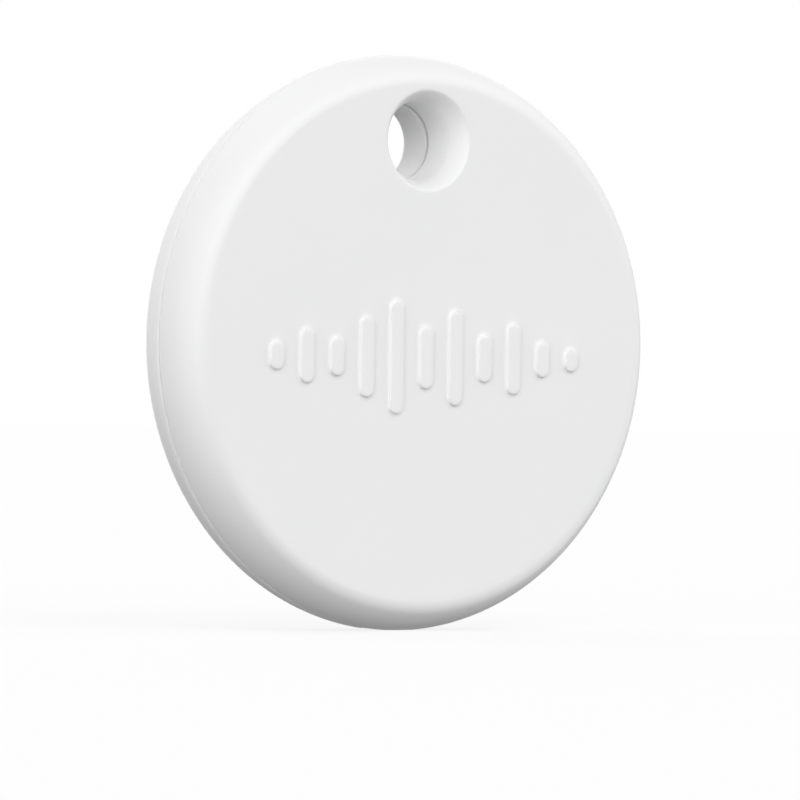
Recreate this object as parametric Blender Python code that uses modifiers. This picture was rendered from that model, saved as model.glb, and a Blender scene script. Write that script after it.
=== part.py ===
"""Round bluetooth tracker tag: two snap-together covers, a piezo sounder, a circuit board and a coin cell.

Every size below is in millimetres. The tag is modelled lying down, front face towards local +Z and the
keyring hole towards local +Y, and a parent empty then stands it upright: front towards -Y, hole towards +Z.
"Depth" is the distance below the plain part of the front face.
"""
import math

import bmesh
import bpy
from mathutils import Matrix, Vector

MM = 0.001

# Body
OUTER_RADIUS = 19.4
BODY_THICKNESS = 7.1
RELIEF = 0.2
FRONT_FACE = (BODY_THICKNESS - RELIEF) / 2
FRONT_SIDE_RADIUS = 4.25
FRONT_SIDE_DEPTH = 3.35
REAR_SIDE_RADIUS = 4.12
REAR_SIDE_DEPTH = 3.18
EDGE_RADIUS = 1.3
WALL = 1.0
SIDE_WALL = 1.3
SEAM_DEPTH = 2.92
SEAM_GAP = 0.2
SEAM_EDGE = 0.15
RING_SEGMENTS = 72
ARC_STEPS = 5

# Rear cover's inner features
SKIRT_OUTER = 17.35
SKIRT_INNER = 16.8
SKIRT_TOP = 1.9
SNAP_COUNT = 6
SNAP_WIDTH = 3.0
SNAP_LUG_RADIUS = 17.6
SNAP_CATCH_RADIUS = 17.65
SNAP_HEIGHT = 0.3
CATCH_HEIGHT = 0.2
CATCH_RECESS = 0.03
CATCH_ROOT = 0.4
COIN_NOTCH_WIDTH = 5.5
COIN_NOTCH_DEPTH = 0.7
COIN_NOTCH_HEIGHT = 0.9

# Seal between the covers
SEAL_INNER = 17.8
SEAL_OUTER = 18.55
SEAL_TOP = 3.07
SEAL_HEIGHT = 0.5
SEAL_CLEARANCE = 0.05

# Keyring hole
HOLE_Y = 13.58
HOLE_RADIUS = 2.5
FRONT_HOLE_RADIUS = 2.64
FUNNEL_WIDTH = 0.81
FUNNEL_DEPTH = 2.0
HOLE_SEAM_DEPTH = 3.9
REAR_FLARE = 0.88
BOSS_RADIUS = 3.9
BOSS_CLEARANCE = 0.25
HOLE_SEAL_INNER = 3.0
HOLE_SEAL_OUTER = 3.45
HOLE_SEAL_HEIGHT = 0.35
HOLE_SEGMENTS = 32

# Raised emblem: a row of round-ended bars of different lengths
BAR_LENGTHS = (1.9, 3.6, 2.6, 5.4, 7.6, 4.2, 6.4, 3.2, 4.8, 2.4, 1.6)
BAR_WIDTH = 1.15
BAR_PITCH = 2.4
BAR_CENTRE_Y = -1.0
BAR_SEGMENTS = 12

# Sounder glued inside the front cover
CELL_Y = -3.0
SOUNDER_RADIUS = 10.0
ADHESIVE_RADIUS = 9.6
CERAMIC_RADIUS = 7.0
ADHESIVE_THICKNESS = 0.05
PLATE_THICKNESS = 0.18
CERAMIC_THICKNESS = 0.18
LAYER_GAP = 0.01
SOUNDER_RIB_INNER = 10.3
SOUNDER_RIB_OUTER = 10.9
SOUNDER_RIB_HEIGHT = 0.5

# Circuit board
BOARD_RADIUS = 16.4
BOARD_DEPTH = 2.05
BOARD_THICKNESS = 0.6
BOARD_NOTCH_RADIUS = 4.4
POST_RADIUS = 0.9
POST_CIRCLE = 14.2
POST_ANGLES = (62.0, 118.0, 205.0, 335.0)
PIN_RADIUS = 0.4
PIN_HOLE_RADIUS = 0.55
PIN_TOP = 1.85
PART_GAP = 0.02

# Coin cell, 20 mm across and 3.2 mm thick
CELL_RADIUS = 10.0
CELL_TOP = 2.85
CELL_HEIGHT = 3.2
CELL_SKIN = 0.25
CELL_CRIMP_DEPTH = 0.35
CAP_RADIUS = 8.9
POCKET_INNER = 10.3
POCKET_OUTER = 11.0
POCKET_TOP = 3.6

# Dome switch under the middle of the sounder
SWITCH_SIZE = 3.4
SWITCH_TOP = 1.83
SWITCH_RECESS_RADIUS = 1.35
SWITCH_RECESS_FLOOR = 1.98
DOME_RADIUS = 1.2
DOME_HEIGHT = 0.16
DOME_SKIN = 0.04
PLUNGER_RADIUS = 0.6
PLUNGER_TOP = 1.49
PLUNGER_THICKNESS = 0.17
RETAINER_TOP = 1.74
RETAINER_THICKNESS = 0.07
RETAINER_HOLE = 0.8

FRONT, REAR = "front", "rear"


def clear_scene():
    for old in list(bpy.data.objects):
        bpy.data.objects.remove(old, do_unlink=True)


def new_collection(name):
    group = bpy.data.collections.new(name)
    bpy.context.scene.collection.children.link(group)
    return group


def make_material(name, colour, roughness, metallic=0.0):
    mat = bpy.data.materials.new(name)
    mat.use_nodes = True
    shader = mat.node_tree.nodes["Principled BSDF"]
    shader.inputs["Base Color"].default_value = (*colour, 1.0)
    shader.inputs["Roughness"].default_value = roughness
    shader.inputs["Metallic"].default_value = metallic
    return mat


def level(depth):
    """Local height of a depth below the front face."""
    return FRONT_FACE - depth


def polar(radius, degrees):
    return radius * math.cos(math.radians(degrees)), radius * math.sin(math.radians(degrees))


def arc(centre_r, centre_depth, width, height, start, end, steps=ARC_STEPS):
    """Points (radius, depth) on an elliptical arc; 0 degrees points outwards, 90 towards the front."""
    points = []
    for i in range(steps + 1):
        angle = math.radians(start + (end - start) * i / steps)
        points.append((centre_r + width * math.cos(angle), centre_depth - height * math.sin(angle)))
    return points


class Tag:
    """Holds the two collections, the materials and the parent empty that stands the tag upright."""

    def __init__(self):
        self.parts = new_collection("tracker_tag")
        self.cutters = new_collection("cutters")
        self.frame = bpy.data.objects.new("upright_frame", None)
        self.frame.rotation_euler = (math.radians(90), 0, 0)
        self.parts.objects.link(self.frame)
        self.cutter_count = 0
        self.materials = {
            "white_shell": make_material("white_shell", (0.80, 0.80, 0.79), 0.48),
            "seal_rubber": make_material("seal_rubber", (0.30, 0.30, 0.31), 0.75),
            "adhesive": make_material("adhesive", (0.75, 0.72, 0.60), 0.60),
            "brass": make_material("brass", (0.72, 0.55, 0.25), 0.30, 1.0),
            "ceramic": make_material("ceramic", (0.78, 0.76, 0.70), 0.55),
            "solder_mask": make_material("solder_mask", (0.02, 0.16, 0.08), 0.40),
            "chip_plastic": make_material("chip_plastic", (0.02, 0.02, 0.022), 0.45),
            "capacitor_ceramic": make_material("capacitor_ceramic", (0.42, 0.30, 0.20), 0.50),
            "antenna_ceramic": make_material("antenna_ceramic", (0.75, 0.77, 0.80), 0.45),
            "nickel_steel": make_material("nickel_steel", (0.62, 0.61, 0.58), 0.28, 1.0),
            "film": make_material("film", (0.55, 0.28, 0.05), 0.35),
            "ferrite": make_material("ferrite", (0.10, 0.10, 0.11), 0.65),
            "cell_gasket": make_material("cell_gasket", (0.55, 0.56, 0.58), 0.55),
            "cathode": make_material("cathode", (0.03, 0.03, 0.03), 0.85),
            "lithium": make_material("lithium", (0.66, 0.66, 0.68), 0.40, 1.0),
            "separator": make_material("separator", (0.85, 0.85, 0.83), 0.90),
        }

    def add(self, name, mesh, material_name):
        obj = bpy.data.objects.new(name, mesh)
        obj.data.materials.append(self.materials[material_name])
        obj.parent = self.frame
        self.parts.objects.link(obj)
        return obj

    def add_cutter(self, mesh):
        self.cutter_count += 1
        obj = bpy.data.objects.new(f"cutter_{self.cutter_count}", mesh)
        obj.parent = self.frame
        obj.hide_render = True
        obj.display_type = "WIRE"
        self.cutters.objects.link(obj)
        return obj


def add_boolean(obj, cutter, operation):
    modifier = obj.modifiers.new(operation.lower(), "BOOLEAN")
    modifier.operation = operation
    modifier.solver = "EXACT"
    modifier.object = cutter


def cut(obj, cutter):
    add_boolean(obj, cutter, "DIFFERENCE")


def join(obj, cutter):
    add_boolean(obj, cutter, "UNION")


def add_screw(obj, segments):
    """Turn the profile round local Z and close it."""
    modifier = obj.modifiers.new("turn", "SCREW")
    modifier.axis = "Z"
    modifier.angle = math.tau
    modifier.steps = segments
    modifier.render_steps = segments
    modifier.use_merge_vertices = True
    modifier.merge_threshold = 0.000001
    modifier.use_smooth_shade = True


def profile_mesh(name, points, closed):
    """A line of (radius, depth) points as a mesh in the local XZ plane."""
    verts = [(radius * MM, 0, level(depth) * MM) for radius, depth in points]
    edges = [(i, i + 1) for i in range(len(verts) - 1)]
    if closed:
        edges.append((len(verts) - 1, 0))
    mesh = bpy.data.meshes.new(name)
    mesh.from_pydata(verts, edges, [])
    return mesh


def shape_mesh(name, build):
    """A mesh made by a function that fills a bmesh."""
    bm = bmesh.new()
    build(bm)
    mesh = bpy.data.meshes.new(name)
    bm.to_mesh(mesh)
    bm.free()
    return mesh


def cylinder_mesh(name, radius, top, bottom, centre=(0, 0), segments=HOLE_SEGMENTS):
    """An upright cylinder between two depths."""
    middle = Vector((centre[0] * MM, centre[1] * MM, level((top + bottom) / 2) * MM))

    def build(bm):
        bmesh.ops.create_cone(bm, cap_ends=True, segments=segments, radius1=radius * MM, radius2=radius * MM,
                              depth=(bottom - top) * MM, matrix=Matrix.Translation(middle))

    return shape_mesh(name, build)


def box_mesh(name, size, centre, angle=0.0):
    """A box of size (x, y, z) about a local centre, turned round local Z by an angle in degrees."""
    place = Matrix.Rotation(math.radians(angle), 4, "Z") @ Matrix.Translation(Vector(centre) * MM)
    scale = Matrix.Diagonal((size[0] * MM, size[1] * MM, size[2] * MM, 1))

    def build(bm):
        bmesh.ops.create_cube(bm, size=1, matrix=place @ scale)

    return shape_mesh(name, build)


def placed(obj, x=0.0, y=0.0):
    obj.location = (x * MM, y * MM, 0)
    return obj


def bevel(obj, width, segments=1):
    modifier = obj.modifiers.new("edges", "BEVEL")
    modifier.width = width * MM
    modifier.segments = segments
    modifier.limit_method = "ANGLE"
    modifier.angle_limit = math.radians(40)


def turned(tag, name, points, material_name, closed=True, segments=RING_SEGMENTS, centre=(0, 0)):
    obj = tag.add(name, profile_mesh(name, points, closed), material_name)
    add_screw(obj, segments)
    return placed(obj, *centre)


def turned_cutter(tag, points, closed=True, segments=RING_SEGMENTS, centre=(0, 0)):
    obj = tag.add_cutter(profile_mesh("cutter_profile", points, closed))
    add_screw(obj, segments)
    return placed(obj, *centre)


def ring_points(inner, outer, top, bottom):
    """Closed rectangular section, down the outside and up the inside."""
    return [(outer, top), (outer, bottom), (inner, bottom), (inner, top)]


def disc(tag, name, radius, top, bottom, material_name, centre=(0, 0), segments=RING_SEGMENTS):
    return tag.add(name, cylinder_mesh(name, radius, top, bottom, centre, segments), material_name)


def edge_points(side_radius, side_depth, face_depth, rim_depth):
    """Outside from the flat face to the rim: an edge blend, then the barrel-shaped side."""
    side_centre = OUTER_RADIUS - side_radius
    towards = 1 if side_depth > face_depth else -1
    reach = side_radius - EDGE_RADIUS
    height = abs(side_depth - face_depth) - EDGE_RADIUS
    blend_centre = side_centre + math.sqrt(reach * reach - height * height)
    meet = math.degrees(math.acos(height / reach))
    rim_angle = math.degrees(math.acos(abs(side_depth - rim_depth) / side_radius))
    if (rim_depth - side_depth) * towards > 0:
        rim_angle = 180 - rim_angle
    blend_depth = towards * EDGE_RADIUS
    blend = arc(blend_centre, face_depth + blend_depth, EDGE_RADIUS, blend_depth, 90, 90 - meet)
    side = arc(side_centre, side_depth, side_radius, towards * side_radius, 90 - meet, 90 - rim_angle)
    return blend + side[1:]


def front_shell_points():
    """Section of the front cover, from the middle of its face round the rim and back inside."""
    rim = SEAM_DEPTH - SEAM_GAP / 2
    centre = OUTER_RADIUS - FRONT_SIDE_RADIUS
    inner_radius = FRONT_SIDE_RADIUS - SIDE_WALL
    inner_rim_angle = math.degrees(math.asin((FRONT_SIDE_DEPTH - rim) / inner_radius))
    inner_face_angle = math.degrees(math.asin((FRONT_SIDE_DEPTH - WALL) / inner_radius))
    points = [(0, 0)]
    points += edge_points(FRONT_SIDE_RADIUS, FRONT_SIDE_DEPTH, 0, rim - SEAM_EDGE)
    points.append((points[-1][0] - SEAM_EDGE, rim))
    points += arc(centre, FRONT_SIDE_DEPTH, inner_radius, inner_radius, inner_rim_angle, inner_face_angle)
    points.append((0, WALL))
    return points


def funnel_points():
    """Cutter section of the front half of the keyring hole."""
    seam = HOLE_SEAM_DEPTH - SEAM_GAP / 2
    mouth = FRONT_HOLE_RADIUS + FUNNEL_WIDTH
    points = [(0, -1.0), (mouth, -1.0)]
    points += arc(mouth, FUNNEL_DEPTH, FUNNEL_WIDTH, FUNNEL_DEPTH, 90, 180, 5)
    points.append((FRONT_HOLE_RADIUS, seam - SEAM_EDGE))
    points.append((FRONT_HOLE_RADIUS + SEAM_EDGE + 0.1, seam + 0.1))
    points.append((0, seam + 0.1))
    return points


def emblem_mesh():
    """Round-ended bars that rise from the front face; their feet sink into the wall."""
    top = FRONT_FACE + RELIEF
    foot = FRONT_FACE - WALL / 2

    def build(bm):
        first = -BAR_PITCH * (len(BAR_LENGTHS) - 1) / 2
        for i, length in enumerate(BAR_LENGTHS):
            middle = Vector((first + BAR_PITCH * i, BAR_CENTRE_Y, (top + foot) / 2)) * MM
            made = bmesh.ops.create_cone(bm, cap_ends=True, segments=BAR_SEGMENTS, radius1=BAR_WIDTH / 2 * MM,
                                         radius2=BAR_WIDTH / 2 * MM, depth=(top - foot) * MM,
                                         matrix=Matrix.Translation(middle))
            stretch = (length - BAR_WIDTH) / 2 * MM
            for vert in made["verts"]:
                vert.co.y += math.copysign(stretch, vert.co.y - middle.y)

    return shape_mesh("emblem", build)


def snap_mesh(inner, outer, top, bottom):
    """Blocks spaced round the rim, one per snap."""

    def build(bm):
        size = (outer - inner, SNAP_WIDTH, bottom - top)
        centre = Vector(((inner + outer) / 2, 0, level((top + bottom) / 2))) * MM
        scale = Matrix.Diagonal((size[0] * MM, size[1] * MM, size[2] * MM, 1))
        for i in range(SNAP_COUNT):
            turn = Matrix.Rotation(math.tau * i / SNAP_COUNT, 4, "Z")
            bmesh.ops.create_cube(bm, size=1, matrix=turn @ Matrix.Translation(centre) @ scale)

    return shape_mesh("snaps", build)


def make_front_cover(tag):
    cover = turned(tag, "front_cover", front_shell_points(), "white_shell", closed=False)
    boss_end = HOLE_SEAM_DEPTH - SEAM_GAP / 2
    rib_end = WALL + SOUNDER_RIB_HEIGHT
    join(cover, tag.add_cutter(cylinder_mesh("boss", BOSS_RADIUS, WALL / 2, boss_end, (0, HOLE_Y))))
    join(cover, turned_cutter(tag, ring_points(SOUNDER_RIB_INNER, SOUNDER_RIB_OUTER, WALL - 0.2, rib_end),
                              segments=48, centre=(0, CELL_Y)))
    rim = SEAM_DEPTH - SEAM_GAP / 2
    catch_rim = rim - CATCH_RECESS
    catches = snap_mesh(SNAP_CATCH_RADIUS, OUTER_RADIUS - SIDE_WALL + CATCH_ROOT,
                        catch_rim - CATCH_HEIGHT, catch_rim)
    join(cover, tag.add_cutter(catches))
    join(cover, tag.add_cutter(emblem_mesh()))
    cut(cover, turned_cutter(tag, funnel_points(), False, HOLE_SEGMENTS, (0, HOLE_Y)))


def rear_shell_points():
    """Section of the rear cover: rear face, rim, seal groove, skirt and floor."""
    rim = SEAM_DEPTH + SEAM_GAP / 2
    rear = BODY_THICKNESS
    groove_floor = SEAL_TOP + SEAL_HEIGHT + SEAL_CLEARANCE
    groove_outer = SEAL_OUTER + SEAL_CLEARANCE
    groove_inner = SEAL_INNER - SEAL_CLEARANCE
    outside = edge_points(REAR_SIDE_RADIUS, REAR_SIDE_DEPTH, rear, rim + SEAM_EDGE)
    outside.reverse()
    points = [(groove_outer, rim), (outside[0][0] - SEAM_EDGE, rim)] + outside
    points += [(0, rear), (0, rear - WALL)]
    points += [(SKIRT_INNER - 0.5, rear - WALL), (SKIRT_INNER, rear - WALL - 0.5)]
    points += [(SKIRT_INNER, SKIRT_TOP), (SKIRT_OUTER, SKIRT_TOP), (SKIRT_OUTER, rim)]
    points += [(groove_inner, rim), (groove_inner, groove_floor), (groove_outer, groove_floor)]
    return points


def rear_hole_points():
    """Cutter section of the rear half of the keyring hole."""
    seam = HOLE_SEAM_DEPTH + SEAM_GAP / 2
    rear = BODY_THICKNESS
    return [
        (0, seam - 0.1),
        (HOLE_RADIUS + SEAM_EDGE + 0.1, seam - 0.1),
        (HOLE_RADIUS, seam + SEAM_EDGE),
        *arc(HOLE_RADIUS + REAR_FLARE, rear - REAR_FLARE, REAR_FLARE, -REAR_FLARE, 180, 90),
        (HOLE_RADIUS + REAR_FLARE, rear + 0.1),
        (0, rear + 0.1),
    ]


def post_mesh(radius, top):
    """Round posts for the board, standing on the rear cover's floor."""
    bottom = BODY_THICKNESS - WALL / 2
    middle = level((top + bottom) / 2) * MM

    def build(bm):
        for angle in POST_ANGLES:
            x, y = polar(POST_CIRCLE, angle)
            bmesh.ops.create_cone(bm, cap_ends=True, segments=12, radius1=radius * MM, radius2=radius * MM,
                                  depth=(bottom - top) * MM,
                                  matrix=Matrix.Translation((x * MM, y * MM, middle)))

    return shape_mesh("posts", build)


def make_rear_cover(tag):
    # The section is a closed loop except for its stretch on the axis, which the turn merges to one point.
    points = rear_shell_points()
    split = points.index((0, BODY_THICKNESS)) + 1
    open_points = points[split:] + points[:split]
    cover = turned(tag, "rear_cover", open_points, "white_shell", closed=False)
    floor = BODY_THICKNESS - WALL
    tube_top = HOLE_SEAM_DEPTH + SEAM_GAP / 2
    boss_room = cylinder_mesh("boss_room", BOSS_RADIUS + BOSS_CLEARANCE, SKIRT_TOP - 0.4, tube_top,
                              (0, HOLE_Y))
    cut(cover, tag.add_cutter(boss_room))
    join(cover, tag.add_cutter(cylinder_mesh("tube", BOSS_RADIUS, tube_top, floor + WALL / 2, (0, HOLE_Y))))
    cut(cover, turned_cutter(tag, rear_hole_points(), False, HOLE_SEGMENTS, (0, HOLE_Y)))
    groove = ring_points(HOLE_SEAL_INNER - SEAL_CLEARANCE, HOLE_SEAL_OUTER + SEAL_CLEARANCE,
                         tube_top - 0.1, tube_top + SEAL_CLEARANCE * 2 + HOLE_SEAL_HEIGHT)
    cut(cover, turned_cutter(tag, groove, True, HOLE_SEGMENTS, (0, HOLE_Y)))
    pocket = turned_cutter(tag, ring_points(POCKET_INNER, POCKET_OUTER, POCKET_TOP, floor + WALL / 2),
                           segments=48, centre=(0, CELL_Y))
    clip_window = box_mesh("clip_window", (3.0, 4.6, floor - POCKET_TOP + 0.5),
                           (POCKET_INNER, CELL_Y, level((floor + POCKET_TOP - 0.5) / 2)))
    cut(pocket, tag.add_cutter(clip_window))
    join(cover, pocket)
    board_rear = BOARD_DEPTH + BOARD_THICKNESS
    join(cover, tag.add_cutter(post_mesh(POST_RADIUS, board_rear + PART_GAP)))
    join(cover, tag.add_cutter(post_mesh(PIN_RADIUS, PIN_TOP)))
    lug_top = SKIRT_TOP + SNAP_HEIGHT
    lugs = snap_mesh(SKIRT_OUTER - 0.3, SNAP_LUG_RADIUS, lug_top, lug_top + SNAP_HEIGHT)
    join(cover, tag.add_cutter(lugs))
    rim = SEAM_DEPTH + SEAM_GAP / 2
    notch = box_mesh("coin_notch", (COIN_NOTCH_WIDTH, COIN_NOTCH_DEPTH * 2, COIN_NOTCH_HEIGHT + 0.5),
                     (0, -OUTER_RADIUS, level(rim + (COIN_NOTCH_HEIGHT - 0.5) / 2)))
    cut(cover, tag.add_cutter(notch))


def make_seals(tag):
    bottom = SEAL_TOP + SEAL_HEIGHT
    crown = (SEAL_INNER + SEAL_OUTER) / 2
    section = [(crown, SEAL_TOP), (SEAL_OUTER, SEAL_TOP + 0.15), (SEAL_OUTER, bottom), (SEAL_INNER, bottom),
               (SEAL_INNER, SEAL_TOP + 0.15)]
    turned(tag, "perimeter_seal", section, "seal_rubber")
    top = HOLE_SEAM_DEPTH + SEAM_GAP / 2 + SEAL_CLEARANCE
    turned(tag, "keyring_seal", ring_points(HOLE_SEAL_INNER, HOLE_SEAL_OUTER, top, top + HOLE_SEAL_HEIGHT),
           "seal_rubber", segments=HOLE_SEGMENTS, centre=(0, HOLE_Y))


def make_sounder(tag):
    """Adhesive, brass plate and ceramic disc, stacked behind the front wall."""
    centre = (0, CELL_Y)
    top = WALL + LAYER_GAP
    disc(tag, "sounder_adhesive", ADHESIVE_RADIUS, top, top + ADHESIVE_THICKNESS, "adhesive", centre, 48)
    top += ADHESIVE_THICKNESS + LAYER_GAP
    disc(tag, "sounder_plate", SOUNDER_RADIUS, top, top + PLATE_THICKNESS, "brass", centre, 48)
    top += PLATE_THICKNESS + LAYER_GAP
    disc(tag, "sounder_ceramic", CERAMIC_RADIUS, top, top + CERAMIC_THICKNESS, "ceramic", centre, 48)


def make_board(tag):
    bottom = BOARD_DEPTH + BOARD_THICKNESS
    board = disc(tag, "circuit_board", BOARD_RADIUS, BOARD_DEPTH, bottom, "solder_mask")
    notch = cylinder_mesh("board_notch", BOARD_NOTCH_RADIUS, BOARD_DEPTH - 0.5, bottom + 0.5, (0, HOLE_Y))
    cut(board, tag.add_cutter(notch))
    for angle in POST_ANGLES:
        centre = polar(POST_CIRCLE, angle)
        hole = cylinder_mesh("pin_hole", PIN_HOLE_RADIUS, BOARD_DEPTH - 0.5, bottom + 0.5, centre, 12)
        cut(board, tag.add_cutter(hole))


def component(tag, name, size, radius, angle, side, material_name, edge=0.04):
    """A part soldered to the board: size is (radial, tangential, height), placed by radius and angle."""
    height = size[2]
    if side == FRONT:
        middle = BOARD_DEPTH - PART_GAP - height / 2
    else:
        middle = BOARD_DEPTH + BOARD_THICKNESS + PART_GAP + height / 2
    obj = tag.add(name, box_mesh(name, size, (0, 0, level(middle))), material_name)
    placed(obj, *polar(radius, angle))
    obj.rotation_euler.z = math.radians(angle)
    bevel(obj, edge)


def make_components(tag):
    component(tag, "radio_chip", (5.0, 5.0, 0.8), 12.2, 140, FRONT, "chip_plastic")
    component(tag, "motion_sensor", (2.0, 2.0, 0.8), 13.3, 12, FRONT, "chip_plastic")
    component(tag, "sounder_driver_chip", (3.0, 3.0, 0.75), 13.3, 352, FRONT, "chip_plastic")
    component(tag, "main_crystal", (1.6, 2.0, 0.5), 13.4, 163, FRONT, "nickel_steel")
    component(tag, "clock_crystal", (1.2, 2.0, 0.5), 13.4, 178, FRONT, "nickel_steel")
    component(tag, "chip_antenna", (1.6, 3.2, 0.7), 14.2, 38, FRONT, "antenna_ceramic")
    component(tag, "antenna_inductor", (0.5, 1.0, 0.5), 12.6, 46, FRONT, "ferrite", 0.03)
    component(tag, "antenna_capacitor", (0.5, 1.0, 0.5), 11.4, 46, FRONT, "capacitor_ceramic", 0.03)
    component(tag, "radio_capacitor_a", (1.0, 0.5, 0.5), 10.9, 155.5, FRONT, "capacitor_ceramic", 0.03)
    component(tag, "radio_capacitor_b", (1.0, 0.5, 0.5), 14.6, 155.5, FRONT, "capacitor_ceramic", 0.03)
    component(tag, "crystal_capacitor_a", (1.0, 0.5, 0.5), 12.7, 170.5, FRONT, "capacitor_ceramic", 0.03)
    component(tag, "crystal_capacitor_b", (1.0, 0.5, 0.5), 14.2, 170.5, FRONT, "capacitor_ceramic", 0.03)
    component(tag, "supply_capacitor", (0.8, 1.6, 0.7), 13.4, 190, FRONT, "capacitor_ceramic")
    component(tag, "sensor_resistor_a", (1.0, 0.5, 0.35), 12.6, 22, FRONT, "chip_plastic", 0.03)
    component(tag, "sensor_resistor_b", (1.0, 0.5, 0.35), 14.2, 22, FRONT, "chip_plastic", 0.03)
    component(tag, "bulk_capacitor", (1.6, 3.2, 1.4), 13.2, 150, REAR, "capacitor_ceramic")
    component(tag, "boost_inductor", (4.0, 4.0, 1.8), 12.2, 38, REAR, "ferrite", 0.3)
    component(tag, "sounder_transistor", (1.3, 2.9, 1.0), 13.6, 17, REAR, "chip_plastic")


def strip_mesh(name, points, width):
    """A flat strip along x with its height given as depths, as an open sheet."""

    def build(bm):
        rows = []
        for x, depth in points:
            pair = [bm.verts.new((x * MM, side * width / 2 * MM, level(depth) * MM)) for side in (-1, 1)]
            rows.append(pair)
        for (a, b), (c, d) in zip(rows, rows[1:]):
            bm.faces.new((a, c, d, b))

    return shape_mesh(name, build)


def strip(tag, name, points, width, thickness, centre, material_name="nickel_steel", angle=0.0):
    obj = tag.add(name, strip_mesh(name, points, width), material_name)
    placed(obj, *centre)
    obj.rotation_euler.z = math.radians(angle)
    solid = obj.modifiers.new("thickness", "SOLIDIFY")
    solid.thickness = thickness * MM
    solid.offset = 0.0


def make_sounder_contacts(tag):
    """Two spring leaves on the board: one under the brass plate's rim, one under the ceramic."""
    foot = BOARD_DEPTH - 0.1
    rim_leaf = [(-1.6, foot), (-0.6, foot), (-0.1, foot - 0.30), (0.9, foot - 0.46), (1.5, foot - 0.40)]
    disc_leaf = [(-1.6, foot), (-0.6, foot), (-0.1, foot - 0.12), (0.9, foot - 0.26), (1.5, foot - 0.20)]
    strip(tag, "sounder_contact_rim", rim_leaf, 1.0, 0.1, (0, CELL_Y + 8.7))
    strip(tag, "sounder_contact_disc", disc_leaf, 1.0, 0.1, (0, CELL_Y + 5.2))


def make_switch(tag):
    centre = (0, CELL_Y)
    base_bottom = BOARD_DEPTH - PART_GAP
    size = (SWITCH_SIZE, SWITCH_SIZE, base_bottom - SWITCH_TOP)
    middle = (0, CELL_Y, level((SWITCH_TOP + base_bottom) / 2))
    base = tag.add("switch_base", box_mesh("switch_base", size, middle), "chip_plastic")
    cut(base, tag.add_cutter(cylinder_mesh("recess", SWITCH_RECESS_RADIUS, SWITCH_TOP - 0.2,
                                           SWITCH_RECESS_FLOOR, centre, 24)))
    rim = SWITCH_RECESS_FLOOR - PART_GAP
    outside = arc(0, rim, DOME_RADIUS, DOME_HEIGHT, 90, 0, 5)
    inside = arc(0, rim, DOME_RADIUS - 2 * DOME_SKIN, DOME_HEIGHT - DOME_SKIN, 0, 90, 5)
    outside[0] = (0, outside[0][1])
    inside[-1] = (0, inside[-1][1])
    turned(tag, "switch_dome", outside + inside, "nickel_steel", closed=False, segments=24, centre=centre)
    disc(tag, "switch_plunger", PLUNGER_RADIUS, PLUNGER_TOP, PLUNGER_TOP + PLUNGER_THICKNESS, "chip_plastic",
         centre, 24)
    size = (SWITCH_SIZE, SWITCH_SIZE, RETAINER_THICKNESS)
    middle = (0, CELL_Y, level(RETAINER_TOP + RETAINER_THICKNESS / 2))
    film = tag.add("switch_retainer", box_mesh("switch_retainer", size, middle), "film")
    cut(film, tag.add_cutter(cylinder_mesh("film_hole", RETAINER_HOLE, RETAINER_TOP - 0.2,
                                           RETAINER_TOP + RETAINER_THICKNESS + 0.2, centre, 24)))


def make_battery_contacts(tag):
    """Positive leaf beside the can and negative plate under the cap, both soldered to the board's rear."""
    board_rear = BOARD_DEPTH + BOARD_THICKNESS
    foot = board_rear + 0.12
    leaf = [(14.2, foot), (11.6, foot), (10.9, foot + 0.5), (10.45, foot + 1.0), (10.3, foot + 1.6),
            (10.55, foot + 2.4)]
    strip(tag, "battery_clip", leaf, 3.2, 0.2, (0, CELL_Y))
    disc(tag, "battery_contact", 3.2, board_rear + PART_GAP, CELL_TOP - 0.05, "nickel_steel", (0, CELL_Y), 32)


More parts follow.
